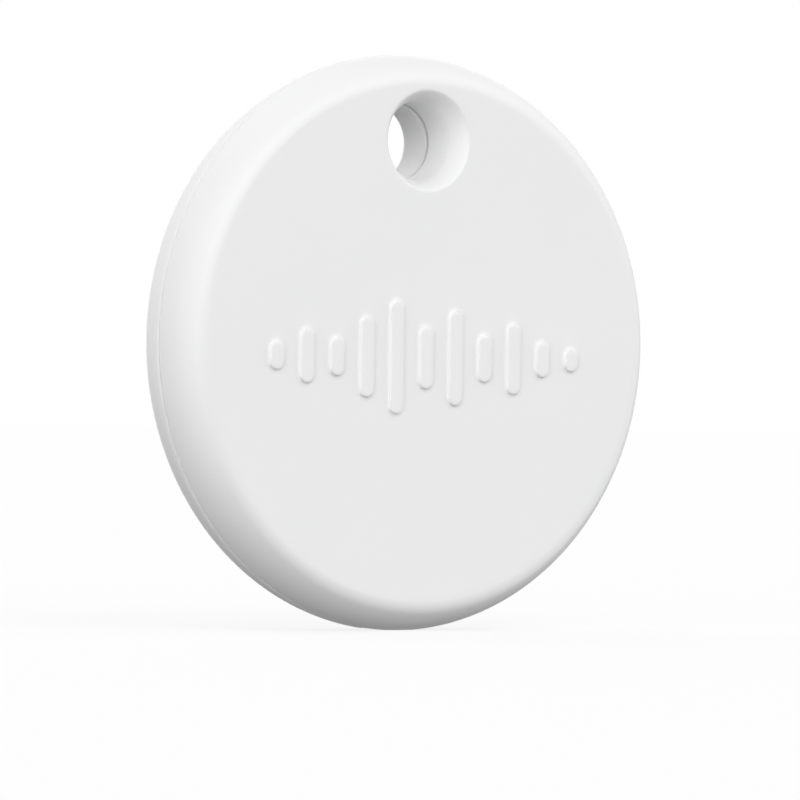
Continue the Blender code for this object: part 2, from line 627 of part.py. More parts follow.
def make_cell(tag):
    """Coin cell: steel can, plastic gasket, steel cap and the layers between them."""
    centre = (0, CELL_Y)
    bottom = CELL_TOP + CELL_HEIGHT
    crimp = CELL_TOP + CELL_CRIMP_DEPTH
    inner = CELL_RADIUS - CELL_SKIN
    can = [(9.35, crimp), (CELL_RADIUS - 0.25, crimp), (CELL_RADIUS, crimp + 0.3),
           (CELL_RADIUS, bottom - 0.3), (CELL_RADIUS - 0.3, bottom), (0, bottom)]
    can_inside = [(0, bottom - CELL_SKIN), (inner, bottom - CELL_SKIN), (inner, crimp + CELL_SKIN),
                  (9.35, crimp + CELL_SKIN)]
    turned(tag, "cell_can", can_inside + can, "nickel_steel", closed=False, segments=48, centre=centre)
    gasket_top = crimp - 0.1
    section = [(9.3, gasket_top), (9.3, crimp + CELL_SKIN + 0.05), (inner - 0.05, crimp + CELL_SKIN + 0.05),
               (inner - 0.05, bottom - CELL_SKIN - 0.05), (inner - 0.45, bottom - CELL_SKIN - 0.05),
               (inner - 0.45, crimp + 0.6), (CAP_RADIUS + 0.05, crimp + 0.6), (CAP_RADIUS + 0.05, gasket_top)]
    turned(tag, "cell_gasket", section, "cell_gasket", segments=48, centre=centre)
    cap = [(0, CELL_TOP), (CAP_RADIUS - 0.5, CELL_TOP), (CAP_RADIUS, CELL_TOP + 0.4),
           (CAP_RADIUS, crimp + 0.9), (CAP_RADIUS - CELL_SKIN, crimp + 0.9),
           (CAP_RADIUS - CELL_SKIN, CELL_TOP + 0.5), (CAP_RADIUS - 0.65, CELL_TOP + CELL_SKIN),
           (0, CELL_TOP + CELL_SKIN)]
    turned(tag, "cell_cap", cap, "nickel_steel", closed=False, segments=48, centre=centre)
    layer = CELL_TOP + CELL_SKIN + LAYER_GAP * 2
    for name, radius, thickness, material_name in (("cell_anode", 7.8, 0.6, "lithium"),
                                                   ("cell_separator", 8.4, 0.1, "separator"),
                                                   ("cell_cathode", 8.0, 1.8, "cathode")):
        disc(tag, name, radius, layer, layer + thickness, material_name, centre, 48)
        layer += thickness + LAYER_GAP * 2


def smooth_round_parts(tag):
    for obj in tag.parts.objects:
        if obj.type == "MESH":
            obj.data.shade_smooth()
            obj.data.set_sharp_from_angle(angle=math.radians(30))


def main():
    clear_scene()
    tag = Tag()
    make_front_cover(tag)
    make_rear_cover(tag)
    make_seals(tag)
    make_sounder(tag)
    make_board(tag)
    make_components(tag)
    make_sounder_contacts(tag)
    make_switch(tag)
    make_battery_contacts(tag)
    make_cell(tag)
    smooth_round_parts(tag)


main()
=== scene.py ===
import math

import bmesh
import bpy
from mathutils import Matrix, Vector
from mathutils.geometry import delaunay_2d_cdt


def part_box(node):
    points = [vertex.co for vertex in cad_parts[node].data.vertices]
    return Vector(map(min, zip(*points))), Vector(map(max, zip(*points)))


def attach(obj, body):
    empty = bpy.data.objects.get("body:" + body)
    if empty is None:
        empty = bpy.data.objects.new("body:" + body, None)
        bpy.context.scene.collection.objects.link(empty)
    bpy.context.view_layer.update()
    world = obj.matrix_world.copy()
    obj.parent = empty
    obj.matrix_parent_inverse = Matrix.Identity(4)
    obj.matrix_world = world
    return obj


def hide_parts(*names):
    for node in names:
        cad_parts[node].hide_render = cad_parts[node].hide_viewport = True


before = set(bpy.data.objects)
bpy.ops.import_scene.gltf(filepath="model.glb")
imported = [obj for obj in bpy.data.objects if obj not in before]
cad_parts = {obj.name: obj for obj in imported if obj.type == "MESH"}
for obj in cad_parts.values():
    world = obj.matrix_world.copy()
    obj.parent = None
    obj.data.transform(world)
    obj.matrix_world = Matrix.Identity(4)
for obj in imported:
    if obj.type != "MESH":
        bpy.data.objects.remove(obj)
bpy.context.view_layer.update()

MM = 0.001

# ---- frame sizes
cover_low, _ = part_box("front_cover")
rear_low, rear_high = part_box("rear_cover")
seal_low, seal_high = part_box("keyring_seal")
cell_low, cell_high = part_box("cell_can")
board_low, board_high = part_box("circuit_board")

RELIEF = 0.2
OUTER = (rear_high.x - rear_low.x) / 2 / MM
FRONT_Y = cover_low.y / MM + RELIEF
THICKNESS = rear_high.y / MM - FRONT_Y
HOLE_Z = (seal_low.z + seal_high.z) / 2 / MM
CELL_Z = (cell_low.z + cell_high.z) / 2 / MM
CELL_RADIUS = (cell_high.x - cell_low.x) / 2 / MM
BOARD_RADIUS = (board_high.x - board_low.x) / 2 / MM

FRONT_SIDE_RADIUS = 4.25
FRONT_SIDE_DEPTH = 3.35
REAR_SIDE_RADIUS = 4.12
REAR_SIDE_DEPTH = 3.18
EDGE_RADIUS = 1.3
WALL = 1.0
SIDE_WALL = 1.3
SEAM_DEPTH = 2.92
HALF_GAP = 0.07
EDGE = 0.06
REAR_RIM_EDGE = 0.35
REAR_RIM_INSET = 0.17
LIP_OUTER = 19.22
LIP_INNER = 18.7
LIP_HEIGHT = 0.3
REBATE = 0.05
RING = 256
HOLE_RING = 96
SHARP_ANGLE = 35.0

HOLE_RADIUS = 2.5
FRONT_HOLE_RADIUS = 2.64
FUNNEL_WIDTH = 0.78
FUNNEL_DEPTH = 1.5
FUNNEL_POWER = 1.4
HOLE_SEAM = 3.9
HOLE_HALF_GAP = 0.1
HOLE_EDGE_INSET = 0.14
HOLE_EDGE_DEPTH = 0.55
REAR_FLARE = 0.88
BOSS_RADIUS = 3.9

SKIRT_OUTER = 17.35
SKIRT_INNER = 16.8
SKIRT_TOP = 1.9
GROOVE_INNER = 17.75
GROOVE_OUTER = 18.6
GROOVE_FLOOR = 3.62

RIB_INNER = 10.3
RIB_OUTER = 10.9
RIB_HEIGHT = 0.5
POCKET_INNER = 10.3
POCKET_OUTER = 11.0
POCKET_TOP = 3.6
POST_RADIUS = 0.9
POST_CIRCLE = 14.2
POST_ANGLES = (62.0, 118.0, 205.0, 335.0)
PIN_RADIUS = 0.4
PIN_TOP = 1.85
SNAP_COUNT = 6
SNAP_WIDTH = 3.0
SNAP_LUG_RADIUS = 17.6
SNAP_CATCH_RADIUS = 17.65
CATCH_HEIGHT = 0.2
SNAP_HEIGHT = 0.3
BOARD_FRONT = board_low.y / MM - FRONT_Y
BOARD_BACK = board_high.y / MM - FRONT_Y

BAR_LENGTHS = (1.9, 3.6, 2.6, 5.4, 7.6, 4.2, 6.4, 3.2, 4.8, 2.4, 1.6)
BAR_WIDTH = 1.15
BAR_PITCH = 2.4
BAR_Z = -1.0
BAR_GUARD = 0.30
BAR_FOOT = 0.04
BAR_SHOULDER = 0.08


# ---- mesh code
def at(x, z, depth):
    return (x, FRONT_Y + depth, z)


def circle(radius, depth, segments, centre_z=0.0):
    """Points round a circle; depth is a number or a function of the distance from the tag's axis."""
    points = []
    for i in range(segments):
        angle = math.tau * i / segments
        x, z = radius * math.cos(angle), centre_z + radius * math.sin(angle)
        points.append(at(x, z, depth(math.hypot(x, z)) if callable(depth) else depth))
    return points


def polar(radius, angle, centre=(0.0, 0.0)):
    """Point at a radius and an angle in degrees."""
    turn = math.radians(angle)
    return centre[0] + radius * math.cos(turn), centre[1] + radius * math.sin(turn)


def span(node):
    """Depths of the front and the rear of a CAD node."""
    low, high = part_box(node)
    return low.y / MM - FRONT_Y, high.y / MM - FRONT_Y


class Skin:
    """Vertices and faces gathered loop by loop."""

    def __init__(self):
        self.verts = []
        self.faces = []

    def loop(self, points):
        start = len(self.verts)
        self.verts += [tuple(p) for p in points]
        return list(range(start, len(self.verts)))

    def bridge(self, a, b, count=None):
        """Faces between two loops, either of which may be one tip; an open pair gives its count of faces."""
        around = max(len(a), len(b))
        for i in range(count or around):
            j = (i + 1) % around
            corners = (a[i % len(a)], a[j % len(a)], b[j % len(b)], b[i % len(b)])
            self.faces.append(tuple(dict.fromkeys(corners)))

    def tube(self, loops):
        """Bridges each list of points to the next; returns the first and last loop."""
        made = [self.loop(points) if not isinstance(points[0], int) else points for points in loops]
        for a, b in zip(made, made[1:]):
            self.bridge(a, b)
        return made[0], made[-1]

    def cap(self, loop):
        self.faces.append(tuple(loop))

    def solid(self, scale=1.0):
        """The skin as a bmesh, without the vertices that no face uses."""
        mesh = bpy.data.meshes.new("skin")
        mesh.from_pydata([Vector(v) * scale for v in self.verts], [], self.faces)
        bm = bmesh.new()
        bm.from_mesh(mesh)
        bpy.data.meshes.remove(mesh)
        bmesh.ops.delete(bm, geom=[v for v in bm.verts if not v.link_faces], context="VERTS")
        return bm

    def mesh(self, name):
        return bake(name, self.solid(MM))


def bake(name, bm):
    """Mesh of a bmesh with its faces turned outwards."""
    bmesh.ops.recalc_face_normals(bm, faces=bm.faces)
    mesh = bpy.data.meshes.new(name)
    bm.to_mesh(mesh)
    bm.free()
    return mesh


def new_object(name, mesh):
    obj = bpy.data.objects.new(name, mesh)
    bpy.context.scene.collection.objects.link(obj)
    return obj


def finish_piece(obj, body, materials, node=None):
    """Materials, smooth shading and body of one piece, and the CAD node it stands for."""
    for material in materials:
        obj.data.materials.append(material)
    obj.data.shade_smooth()
    obj.data.set_sharp_from_angle(angle=math.radians(SHARP_ANGLE))
    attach(obj, body)
    if node:
        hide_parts(node)


def boolean(obj, cutter, operation="DIFFERENCE"):
    modifier = obj.modifiers.new("step", "BOOLEAN")
    modifier.operation = operation
    modifier.solver = "EXACT"
    modifier.object = cutter
    bpy.context.view_layer.update()
    graph = bpy.context.evaluated_depsgraph_get()
    made = bpy.data.meshes.new_from_object(obj.evaluated_get(graph))
    made.materials.clear()
    obj.modifiers.clear()
    spent = (obj.data, cutter.data)
    obj.data = made
    bpy.data.objects.remove(cutter)
    for mesh in spent:
        bpy.data.meshes.remove(mesh)


def revolve(section, segments, angles=None):
    """Skin of (radius, height) points turned round the height axis.

    The section runs from axis to axis or is a closed ring, which angles in degrees can limit to an arc.
    """
    skin = Skin()
    start, end = angles or (0.0, 360.0)
    count = segments + 1 if angles else segments
    turns = [start + (end - start) * i / segments for i in range(count)]
    loops = [skin.loop([(*polar(r, turn), h) for turn in (turns if r else turns[:1])]) for r, h in section]
    pairs = list(zip(loops, loops[1:]))
    if section[0][0]:
        pairs.append((loops[-1], loops[0]))
    for a, b in pairs:
        skin.bridge(a, b, segments)
    if angles:
        skin.cap([loop[0] for loop in loops])
        skin.cap([loop[-1] for loop in loops])
    return skin


def turned(name, section, segments, centre=(0.0, 0.0), angles=None):
    """Object of (radius, depth) points turned round an axis along Y."""
    skin = revolve(section, segments, angles)
    skin.verts = [at(centre[0] + x, centre[1] + z, depth) for x, z, depth in skin.verts]
    return new_object(name, skin.mesh(name))


def drill(obj, radius, low, high, segments, centre):
    """Cuts a round hole between two depths."""
    boolean(obj, turned("drill", [(0, low), (radius, low), (radius, high), (0, high)], segments, centre))


def rounded_box(size, edge, steps):
    bm = bmesh.new()
    bmesh.ops.create_cube(bm, size=1.0, matrix=Matrix.Diagonal((*size, 1)))
    bmesh.ops.bevel(bm, geom=list(bm.edges), offset=edge, offset_type="OFFSET", segments=steps, profile=0.5,
                    affect="EDGES")
    return bm


def block(name, size, centre, edge, steps=3):
    """Box of size (x, z, depth) about (x, z, depth), with rounded edges."""
    width, height, length = (MM * value for value in size)
    bm = rounded_box((width, length, height), edge * MM, steps)
    bmesh.ops.translate(bm, vec=Vector(at(*centre)) * MM, verts=bm.verts)
    return new_object(name, bake(name, bm))


def corner(before, tip, after, steps=5):
    """Rounded corner between three (radius, depth) points."""
    points = []
    for i in range(steps + 1):
        t = i / steps
        points.append(tuple((1 - t) ** 2 * a + 2 * t * (1 - t) * b + t * t * c
                            for a, b, c in zip(before, tip, after)))
    return points


POSTS = [polar(POST_CIRCLE, angle) for angle in POST_ANGLES]


# ---- front shell
class Side:
    """Outside of one cover: flat face, edge blend and barrel-shaped side, as a drop from the face."""

    def __init__(self, radius, drop):
        self.radius = radius
        self.drop_to_middle = drop
        self.centre = OUTER - radius
        reach, rise = radius - EDGE_RADIUS, drop - EDGE_RADIUS
        self.flat = self.centre + math.sqrt(reach * reach - rise * rise)
        self.meet = math.acos(rise / reach)

    def point(self, turn):
        """(radius, drop) where the surface leans by this angle from the face."""
        if turn < self.meet:
            return self.flat + EDGE_RADIUS * math.sin(turn), EDGE_RADIUS * (1 - math.cos(turn))
        return self.centre + self.radius * math.sin(turn), self.drop_to_middle - self.radius * math.cos(turn)

    def drop(self, radius):
        beyond = radius - self.flat
        if beyond <= 0:
            return 0.0
        if beyond < EDGE_RADIUS * math.sin(self.meet):
            return EDGE_RADIUS - math.sqrt(EDGE_RADIUS ** 2 - beyond ** 2)
        return self.drop_to_middle - math.sqrt(max(0.0, self.radius ** 2 - (radius - self.centre) ** 2))

    def turn(self, drop):
        return math.acos((self.drop_to_middle - drop) / self.radius)


front_side = Side(FRONT_SIDE_RADIUS, FRONT_SIDE_DEPTH)
rear_side = Side(REAR_SIDE_RADIUS, THICKNESS - REAR_SIDE_DEPTH)
INNER_RADIUS = FRONT_SIDE_RADIUS - SIDE_WALL
STEP = math.radians(2.5)


def rear_depth(radius):
    return THICKNESS - rear_side.drop(radius)


def inner_depth(radius):
    """Depth of the front cover's inner surface."""
    beyond = max(0.0, radius - front_side.centre)
    return max(WALL, FRONT_SIDE_DEPTH - math.sqrt(max(0.0, INNER_RADIUS ** 2 - beyond ** 2)))


def inner_point(turn):
    return front_side.centre + INNER_RADIUS * math.sin(turn), FRONT_SIDE_DEPTH - INNER_RADIUS * math.cos(turn)


def spread(start, end, step=STEP):
    """Even angles from just after the start to the end."""
    count = max(1, math.ceil(abs(end - start) / step))
    return [start + (end - start) * i / count for i in range(1, count + 1)]


def stadium(x, length, offset, depth, steps=16):
    """Round-ended bar outline grown by an offset."""
    points = []
    for side, start in ((1, 0.0), (-1, 180.0)):
        middle = (x, BAR_Z + side * (length - BAR_WIDTH) / 2)
        for i in range(steps + 1):
            points.append(at(*polar(BAR_WIDTH / 2 + offset, start + 180.0 * i / steps, middle), depth))
    return points


def in_bar(x, z, grow):
    for i, length in enumerate(BAR_LENGTHS):
        middle = BAR_PITCH * (i - (len(BAR_LENGTHS) - 1) / 2)
        dz = max(0.0, abs(z - BAR_Z) - (length - BAR_WIDTH) / 2)
        if math.hypot(x - middle, dz) < BAR_WIDTH / 2 + grow:
            return True
    return False


def add_bars(skin):
    """The raised bars; returns their outer guard loops."""
    guards = []
    for i, length in enumerate(BAR_LENGTHS):
        x = BAR_PITCH * (i - (len(BAR_LENGTHS) - 1) / 2)
        rows = [stadium(x, length, BAR_GUARD, 0.0)]
        steps = 8
        for k in range(steps + 1):
            t = k / steps
            offset = BAR_FOOT - (BAR_FOOT + BAR_SHOULDER) * t
            rows.append(stadium(x, length, offset, -RELIEF * (1 - math.cos(math.pi * t)) / 2))
        rows.append(stadium(x, length, -BAR_GUARD, -RELIEF))
        first, last = skin.tube(rows)
        skin.cap(last)
        guards.append(first)
    return guards


def add_face(skin, side, guard_radius, bars, depth):
    """Flat face and the start of the edge round the keyring hole; returns the last ring and its angle."""
    rings = [skin.loop(circle(side.flat - 0.5, depth, RING))]
    turn = 0.0
    while side.point(turn)[0] < HOLE_Z + guard_radius + 0.15:
        rings.append(skin.loop(circle(side.point(turn)[0], depth, RING)))
        turn += STEP
    outer = skin.loop(circle(side.point(turn)[0], depth, RING))
    guard = skin.loop(circle(guard_radius, depth, HOLE_RING, HOLE_Z))
    scatter = [i for ring in rings for i in ring
               if math.hypot(skin.verts[i][0], skin.verts[i][2] - HOLE_Z) > guard_radius + 0.12]
    chains = [outer, guard] + bars
    index_patch(skin, chains, scatter, lambda x, z: math.hypot(x, z - HOLE_Z) > guard_radius
                and not (bars and in_bar(x, z, BAR_GUARD)))
    return guard, outer, turn


def index_patch(skin, chains, scatter, keep):
    """Triangles over closed chains and loose vertices of a skin; loose vertices left out stay unused."""
    index, edges = [], []
    for chain in chains:
        start = len(index)
        index += chain
        edges += [(start + i, start + (i + 1) % len(chain)) for i in range(len(chain))]
    index += scatter
    flat = [Vector((skin.verts[i][0], skin.verts[i][2])) for i in index]
    points, _, faces, origin, _, _ = delaunay_2d_cdt(flat, edges, [], 0, 1e-7)
    for face in faces:
        middle = sum((points[i] for i in face), Vector((0, 0))) / len(face)
        if keep(middle.x, middle.y):
            skin.faces.append(tuple(index[origin[i][0]] for i in face))


def profile_rings(points, segments=RING, centre_z=0.0):
    return [circle(r, d, segments, centre_z) for r, d in points]


def make_front_shell():
    skin = Skin()
    bars = add_bars(skin)
    face_depth = front_side.drop
    guard, outer, turn = add_face(skin, front_side, FRONT_HOLE_RADIUS + FUNNEL_WIDTH + 0.35, bars, face_depth)
    rim = SEAM_DEPTH - HALF_GAP

    # Keyring hole: funnel, straight tube, rounded end and the boss behind the face
    mouth = FRONT_HOLE_RADIUS + FUNNEL_WIDTH
    rows = [guard, circle(mouth + 0.17, face_depth, HOLE_RING, HOLE_Z)]
    steps = 18
    for i in range(steps + 1):
        lean = math.pi / 2 * i / steps
        fall = 1 - math.cos(lean) ** FUNNEL_POWER
        radius = mouth - FUNNEL_WIDTH * math.sin(lean) ** FUNNEL_POWER
        rows.append(circle(radius, lambda r, fall=fall: face_depth(r) + fall * (FUNNEL_DEPTH - face_depth(r)),
                           HOLE_RING, HOLE_Z))
    end = HOLE_SEAM - HOLE_HALF_GAP
    rows += profile_rings(corner((FRONT_HOLE_RADIUS, end - EDGE), (FRONT_HOLE_RADIUS, end),
                                 (FRONT_HOLE_RADIUS + EDGE, end)), HOLE_RING, HOLE_Z)
    rows += profile_rings([(BOSS_RADIUS - 0.1, end), (BOSS_RADIUS, end - 0.1)], HOLE_RING, HOLE_Z)
    rows.append(circle(BOSS_RADIUS, inner_depth, HOLE_RING, HOLE_Z))
    _, boss_foot = skin.tube(rows)

    # Side, rounded rim, underside and inner wall
    rim_turn = front_side.turn(rim - EDGE)
    section = [front_side.point(angle) for angle in spread(turn, rim_turn)]
    edge_radius = section[-1][0]
    lean = EDGE / math.tan(rim_turn)
    section += corner((edge_radius, rim - EDGE), (edge_radius + lean, rim), (edge_radius - EDGE, rim))[1:]
    inner_rim = math.acos((FRONT_SIDE_DEPTH - rim) / INNER_RADIUS)
    inner_patch = math.asin((HOLE_Z + BOSS_RADIUS + 0.15 - front_side.centre) / INNER_RADIUS)
    inner_face = math.acos((FRONT_SIDE_DEPTH - WALL) / INNER_RADIUS)
    ceiling = rim - LIP_HEIGHT
    section += [(LIP_OUTER + REBATE, rim), (LIP_OUTER + REBATE, ceiling), (LIP_INNER - REBATE, ceiling),
                (LIP_INNER - REBATE, rim), inner_point(inner_rim)]
    section += [inner_point(angle) for angle in spread(inner_rim, inner_patch)]
    _, inner_ring = skin.tube([outer] + profile_rings(section))

    # Inner face round the boss
    scatter = []
    for angle in spread(inner_patch, inner_face):
        for point in circle(inner_point(angle)[0], inner_depth, RING):
            if math.hypot(point[0], point[2] - HOLE_Z) > BOSS_RADIUS + 0.12:
                scatter += skin.loop([point])
    index_patch(skin, [inner_ring, boss_foot], scatter,
                lambda x, z: math.hypot(x, z - HOLE_Z) > BOSS_RADIUS)
    shell = new_object("front_shell", skin.mesh("front_shell"))

    # Ring round the sounder and the snap catches
    foot = WALL - 0.2
    rib = WALL + RIB_HEIGHT
    ring = [(RIB_OUTER + 0.1, foot), (RIB_OUTER, WALL + 0.1), (RIB_OUTER, rib - 0.08),
            (RIB_OUTER - 0.08, rib), (RIB_INNER + 0.08, rib), (RIB_INNER, rib - 0.08), (RIB_INNER, foot)]
    boolean(shell, turned("rib", ring, RING, (0.0, CELL_Z)), "UNION")
    low, high = rim - 0.03 - CATCH_HEIGHT, rim - 0.03
    add_snaps(shell, SNAP_CATCH_RADIUS, [(SNAP_CATCH_RADIUS, low + 0.07), (SNAP_CATCH_RADIUS, high - 0.07),
                                         (SNAP_CATCH_RADIUS + 0.1, high), (LIP_INNER - 0.3, high),
                                         (LIP_INNER - 0.3, low)])
    return shell


def add_snaps(shell, radius, section):
    """Short lengths of one section, evenly round the shell."""
    half_width = math.degrees(SNAP_WIDTH / 2 / radius)
    for i in range(SNAP_COUNT):
        angle = 360.0 * i / SNAP_COUNT
        boolean(shell, turned("snap", section, 12, angles=(angle - half_width, angle + half_width)), "UNION")


# ---- rear shell
def make_rear_shell():
    skin = Skin()
    guard, outer, turn = add_face(skin, rear_side, HOLE_RADIUS + REAR_FLARE + 0.3, [], rear_depth)
    rim = SEAM_DEPTH + HALF_GAP
    floor = THICKNESS - WALL

    # Blind start of the keyring hole with its rounded flare
    rows = [guard]
    flare_end = THICKNESS - REAR_FLARE
    steps = 14
    for i in range(steps + 1):
        lean = math.pi / 2 * i / steps
        fall = 1 - math.cos(lean)
        rows.append(circle(HOLE_RADIUS + REAR_FLARE * (1 - math.sin(lean)),
                           lambda r, fall=fall: rear_depth(r) + fall * (flare_end - rear_depth(r)),
                           HOLE_RING, HOLE_Z))
    blind = flare_end - 0.03
    rows.append(circle(HOLE_RADIUS, blind, HOLE_RING, HOLE_Z))
    _, blind_end = skin.tube(rows)
    skin.cap(blind_end)

    # Side, rounded rim, lip, seal groove, skirt and floor
    section = []
    for angle in spread(turn, rear_side.turn(THICKNESS - rim - REAR_RIM_EDGE)):
        radius, drop = rear_side.point(angle)
        section.append((radius, THICKNESS - drop))
    edge_radius = section[-1][0]
    section += corner((edge_radius, rim + REAR_RIM_EDGE), (edge_radius, rim),
                      (edge_radius - REAR_RIM_INSET, rim))[1:]
    lip = rim - LIP_HEIGHT
    section += [(LIP_OUTER, rim), (LIP_OUTER, lip + 0.03), (LIP_OUTER - 0.03, lip),
                (LIP_INNER + 0.03, lip), (LIP_INNER, lip + 0.03), (LIP_INNER, rim),
                (GROOVE_OUTER + 0.05, rim), (GROOVE_OUTER, rim + 0.05), (GROOVE_OUTER, GROOVE_FLOOR),
                (GROOVE_INNER, GROOVE_FLOOR), (GROOVE_INNER, rim + 0.05), (GROOVE_INNER - 0.05, rim),
                (SKIRT_OUTER + 0.05, rim), (SKIRT_OUTER, rim - 0.05)]
    section += corner((SKIRT_OUTER, SKIRT_TOP + 0.2), (SKIRT_OUTER, SKIRT_TOP),
                      (SKIRT_OUTER - 0.2, SKIRT_TOP), 4)
    section += corner((SKIRT_INNER + 0.1, SKIRT_TOP), (SKIRT_INNER, SKIRT_TOP),
                      (SKIRT_INNER, SKIRT_TOP + 0.1), 3)
    section += corner((SKIRT_INNER, floor - 0.5), (SKIRT_INNER, floor), (SKIRT_INNER - 0.5, floor), 6)
    section.append((0.5, floor))
    _, inner = skin.tube([outer] + profile_rings(section))
    skin.cap(inner)
    shell = new_object("rear_shell", skin.mesh("rear_shell"))

    # Room for the front cover's boss, then the rear tube with its seal groove and rounded bore
    hole = (0.0, HOLE_Z)
    tube_top = HOLE_SEAM + HOLE_HALF_GAP
    drill(shell, BOSS_RADIUS + 0.25, SKIRT_TOP - 0.4, tube_top, HOLE_RING, hole)
    tube = [(0, tube_top)] + corner((BOSS_RADIUS - 0.1, tube_top), (BOSS_RADIUS, tube_top),
                                    (BOSS_RADIUS, tube_top + 0.1), 3)
    tube += [(BOSS_RADIUS, floor + 0.3), (BOSS_RADIUS - 0.7, floor + 0.3), (BOSS_RADIUS - 0.7, floor + 0.01)]
    boolean(shell, turned("tube", tube + [(0, floor + 0.01)], HOLE_RING, hole), "UNION")
    wide = HOLE_RADIUS + HOLE_EDGE_INSET
    bore = corner((wide, tube_top), (HOLE_RADIUS, tube_top), (HOLE_RADIUS, tube_top + HOLE_EDGE_DEPTH))
    bore = [(0, tube_top - 0.5), (wide + 0.02, tube_top - 0.5)] + bore
    boolean(shell, turned("bore", bore + [(HOLE_RADIUS, blind + 0.02), (0, blind + 0.02)], HOLE_RING, hole))
    groove = [(3.5, tube_top - 0.2), (3.5, tube_top + 0.45), (2.95, tube_top + 0.45), (2.95, tube_top - 0.2)]
    boolean(shell, turned("groove", groove, HOLE_RING, hole))

    # Cell pocket with its clip window, board posts and pins, snap lugs and the coin notch
    wall = [(POCKET_OUTER, floor + 0.3), (POCKET_OUTER, POCKET_TOP + 0.15), (POCKET_OUTER - 0.15, POCKET_TOP),
            (POCKET_INNER + 0.2, POCKET_TOP), (POCKET_INNER, POCKET_TOP + 0.2), (POCKET_INNER, floor + 0.3)]
    pocket = turned("pocket", wall, RING, (0.0, CELL_Z))
    boolean(pocket, block("window", (3.0, 4.6, floor - POCKET_TOP + 0.5),
                          (POCKET_INNER, CELL_Z, (floor + POCKET_TOP - 0.5) / 2), 0.2))
    boolean(shell, pocket, "UNION")
    post_seat = BOARD_BACK + 0.02
    for place in POSTS:
        post = [(0, PIN_TOP)] + corner((PIN_RADIUS - 0.15, PIN_TOP), (PIN_RADIUS, PIN_TOP),
                                       (PIN_RADIUS, PIN_TOP + 0.15), 3)
        post += [(PIN_RADIUS, post_seat)] + corner((POST_RADIUS - 0.1, post_seat), (POST_RADIUS, post_seat),
                                                   (POST_RADIUS, post_seat + 0.1), 3)
        post += [(POST_RADIUS, floor + 0.3), (0, floor + 0.3)]
        boolean(shell, turned("post", post, 32, place), "UNION")
    lug_top = SKIRT_TOP + SNAP_HEIGHT
    lug_foot = lug_top + SNAP_HEIGHT
    add_snaps(shell, SKIRT_OUTER, [(SKIRT_OUTER - 0.3, lug_top - 0.05), (SKIRT_OUTER, lug_top),
                                   (SNAP_LUG_RADIUS, lug_top + 0.17), (SNAP_LUG_RADIUS, lug_foot),
                                   (SKIRT_OUTER - 0.3, lug_foot)])
    boolean(shell, block("notch", (5.5, 1.4, 1.4), (0, -OUTER, rim + 0.2), 0.25))
    return shell


# ---- pieces of many parts
def local_frame(x, z, depth, angle=0.0, outward=1):
    """Axes along (cos, sin) of the angle, across it, and towards the front (outward 1) or the rear (-1)."""
    c, si = math.cos(math.radians(angle)), math.sin(math.radians(angle))
    rows = Matrix(((c, -si, 0), (0, 0, -outward), (si, c, 0)))
    return Matrix.Translation(Vector(at(x, z, depth)) * MM) @ (rows * MM).to_4x4()


class Parts:
    """Closed solids in one local frame (along, across, height), each with its own material, as one piece."""

    def __init__(self, name, place):
        self.name = name
        self.place = place
        self.bm = bmesh.new()
        self.materials = []

    def take(self, bm, material, shift=Matrix()):
        """Adds the solid in bm, in millimetres of the local frame."""
        if material not in self.materials:
            self.materials.append(material)
        for face in bm.faces:
            face.material_index = self.materials.index(material)
        bmesh.ops.transform(bm, matrix=self.place @ shift, verts=bm.verts)
        mesh = bake("part", bm)
        self.bm.from_mesh(mesh)
        bpy.data.meshes.remove(mesh)

    def box(self, size, centre, material, edge=0.03, steps=2, angle=0.0):
        turn = Matrix.Rotation(math.radians(angle), 4, "Z")
        self.take(rounded_box(size, edge, steps), material, Matrix.Translation(centre) @ turn)

    def spin(self, section, material, segments=64, centre=(0.0, 0.0)):
        """Section of (radius, height) points, as for revolve, turned round the height axis."""
        self.take(revolve(section, segments).solid(), material, Matrix.Translation((*centre, 0)))

    def ribbon(self, points, width, thickness, material, across=0.0, rounds=3):
        """Flat spring strip through (along, height) points, with its corners rounded."""
        for _ in range(rounds):
            soft = [points[0]]
            for a, b in zip(points, points[1:]):
                soft += [tuple((1 - t) * p + t * q for p, q in zip(a, b)) for t in (0.25, 0.75)]
            points = soft + [points[-1]]
        rows = []
        for i, (x, h) in enumerate(points):
            before, after = points[max(i - 1, 0)], points[min(i + 1, len(points) - 1)]
            run = Vector((after[0] - before[0], after[1] - before[1])).normalized()
            side = Vector((-run.y, run.x)) * thickness / 2
            rows.append([(x + k * side.x, across + w * width / 2, h + k * side.y)
                         for k, w in ((1, -1), (1, 1), (-1, 1), (-1, -1))])
        skin = Skin()
        for end in skin.tube(rows):
            skin.cap(end)
        self.take(skin.solid(), material)

    def finish(self, body, slot, node=None):
        mesh = bpy.data.meshes.new(self.name)
        self.bm.to_mesh(mesh)
        self.bm.free()
        finish_piece(new_object(self.name, mesh), body, self.materials, node)


def plate(radius, low, high, edge, steps=3):
    """Section of a flat disc with rounded edges."""
    return ([(0, high)] + corner((radius - edge, high), (radius, high), (radius, high - edge), steps)
            + corner((radius, low + edge), (radius, low), (radius - edge, low), steps) + [(0, low)])


def ring_section(inner, outer, low, high, edge):
    return (corner((outer - edge, high), (outer, high), (outer, high - edge), 4)
            + corner((outer, low + edge), (outer, low), (outer - edge, low), 4)
            + corner((inner + edge, low), (inner, low), (inner, low + edge), 4)
            + corner((inner, high - edge), (inner, high), (inner + edge, high), 4))


REARWARD = local_frame(0, CELL_Z, 0, outward=-1)


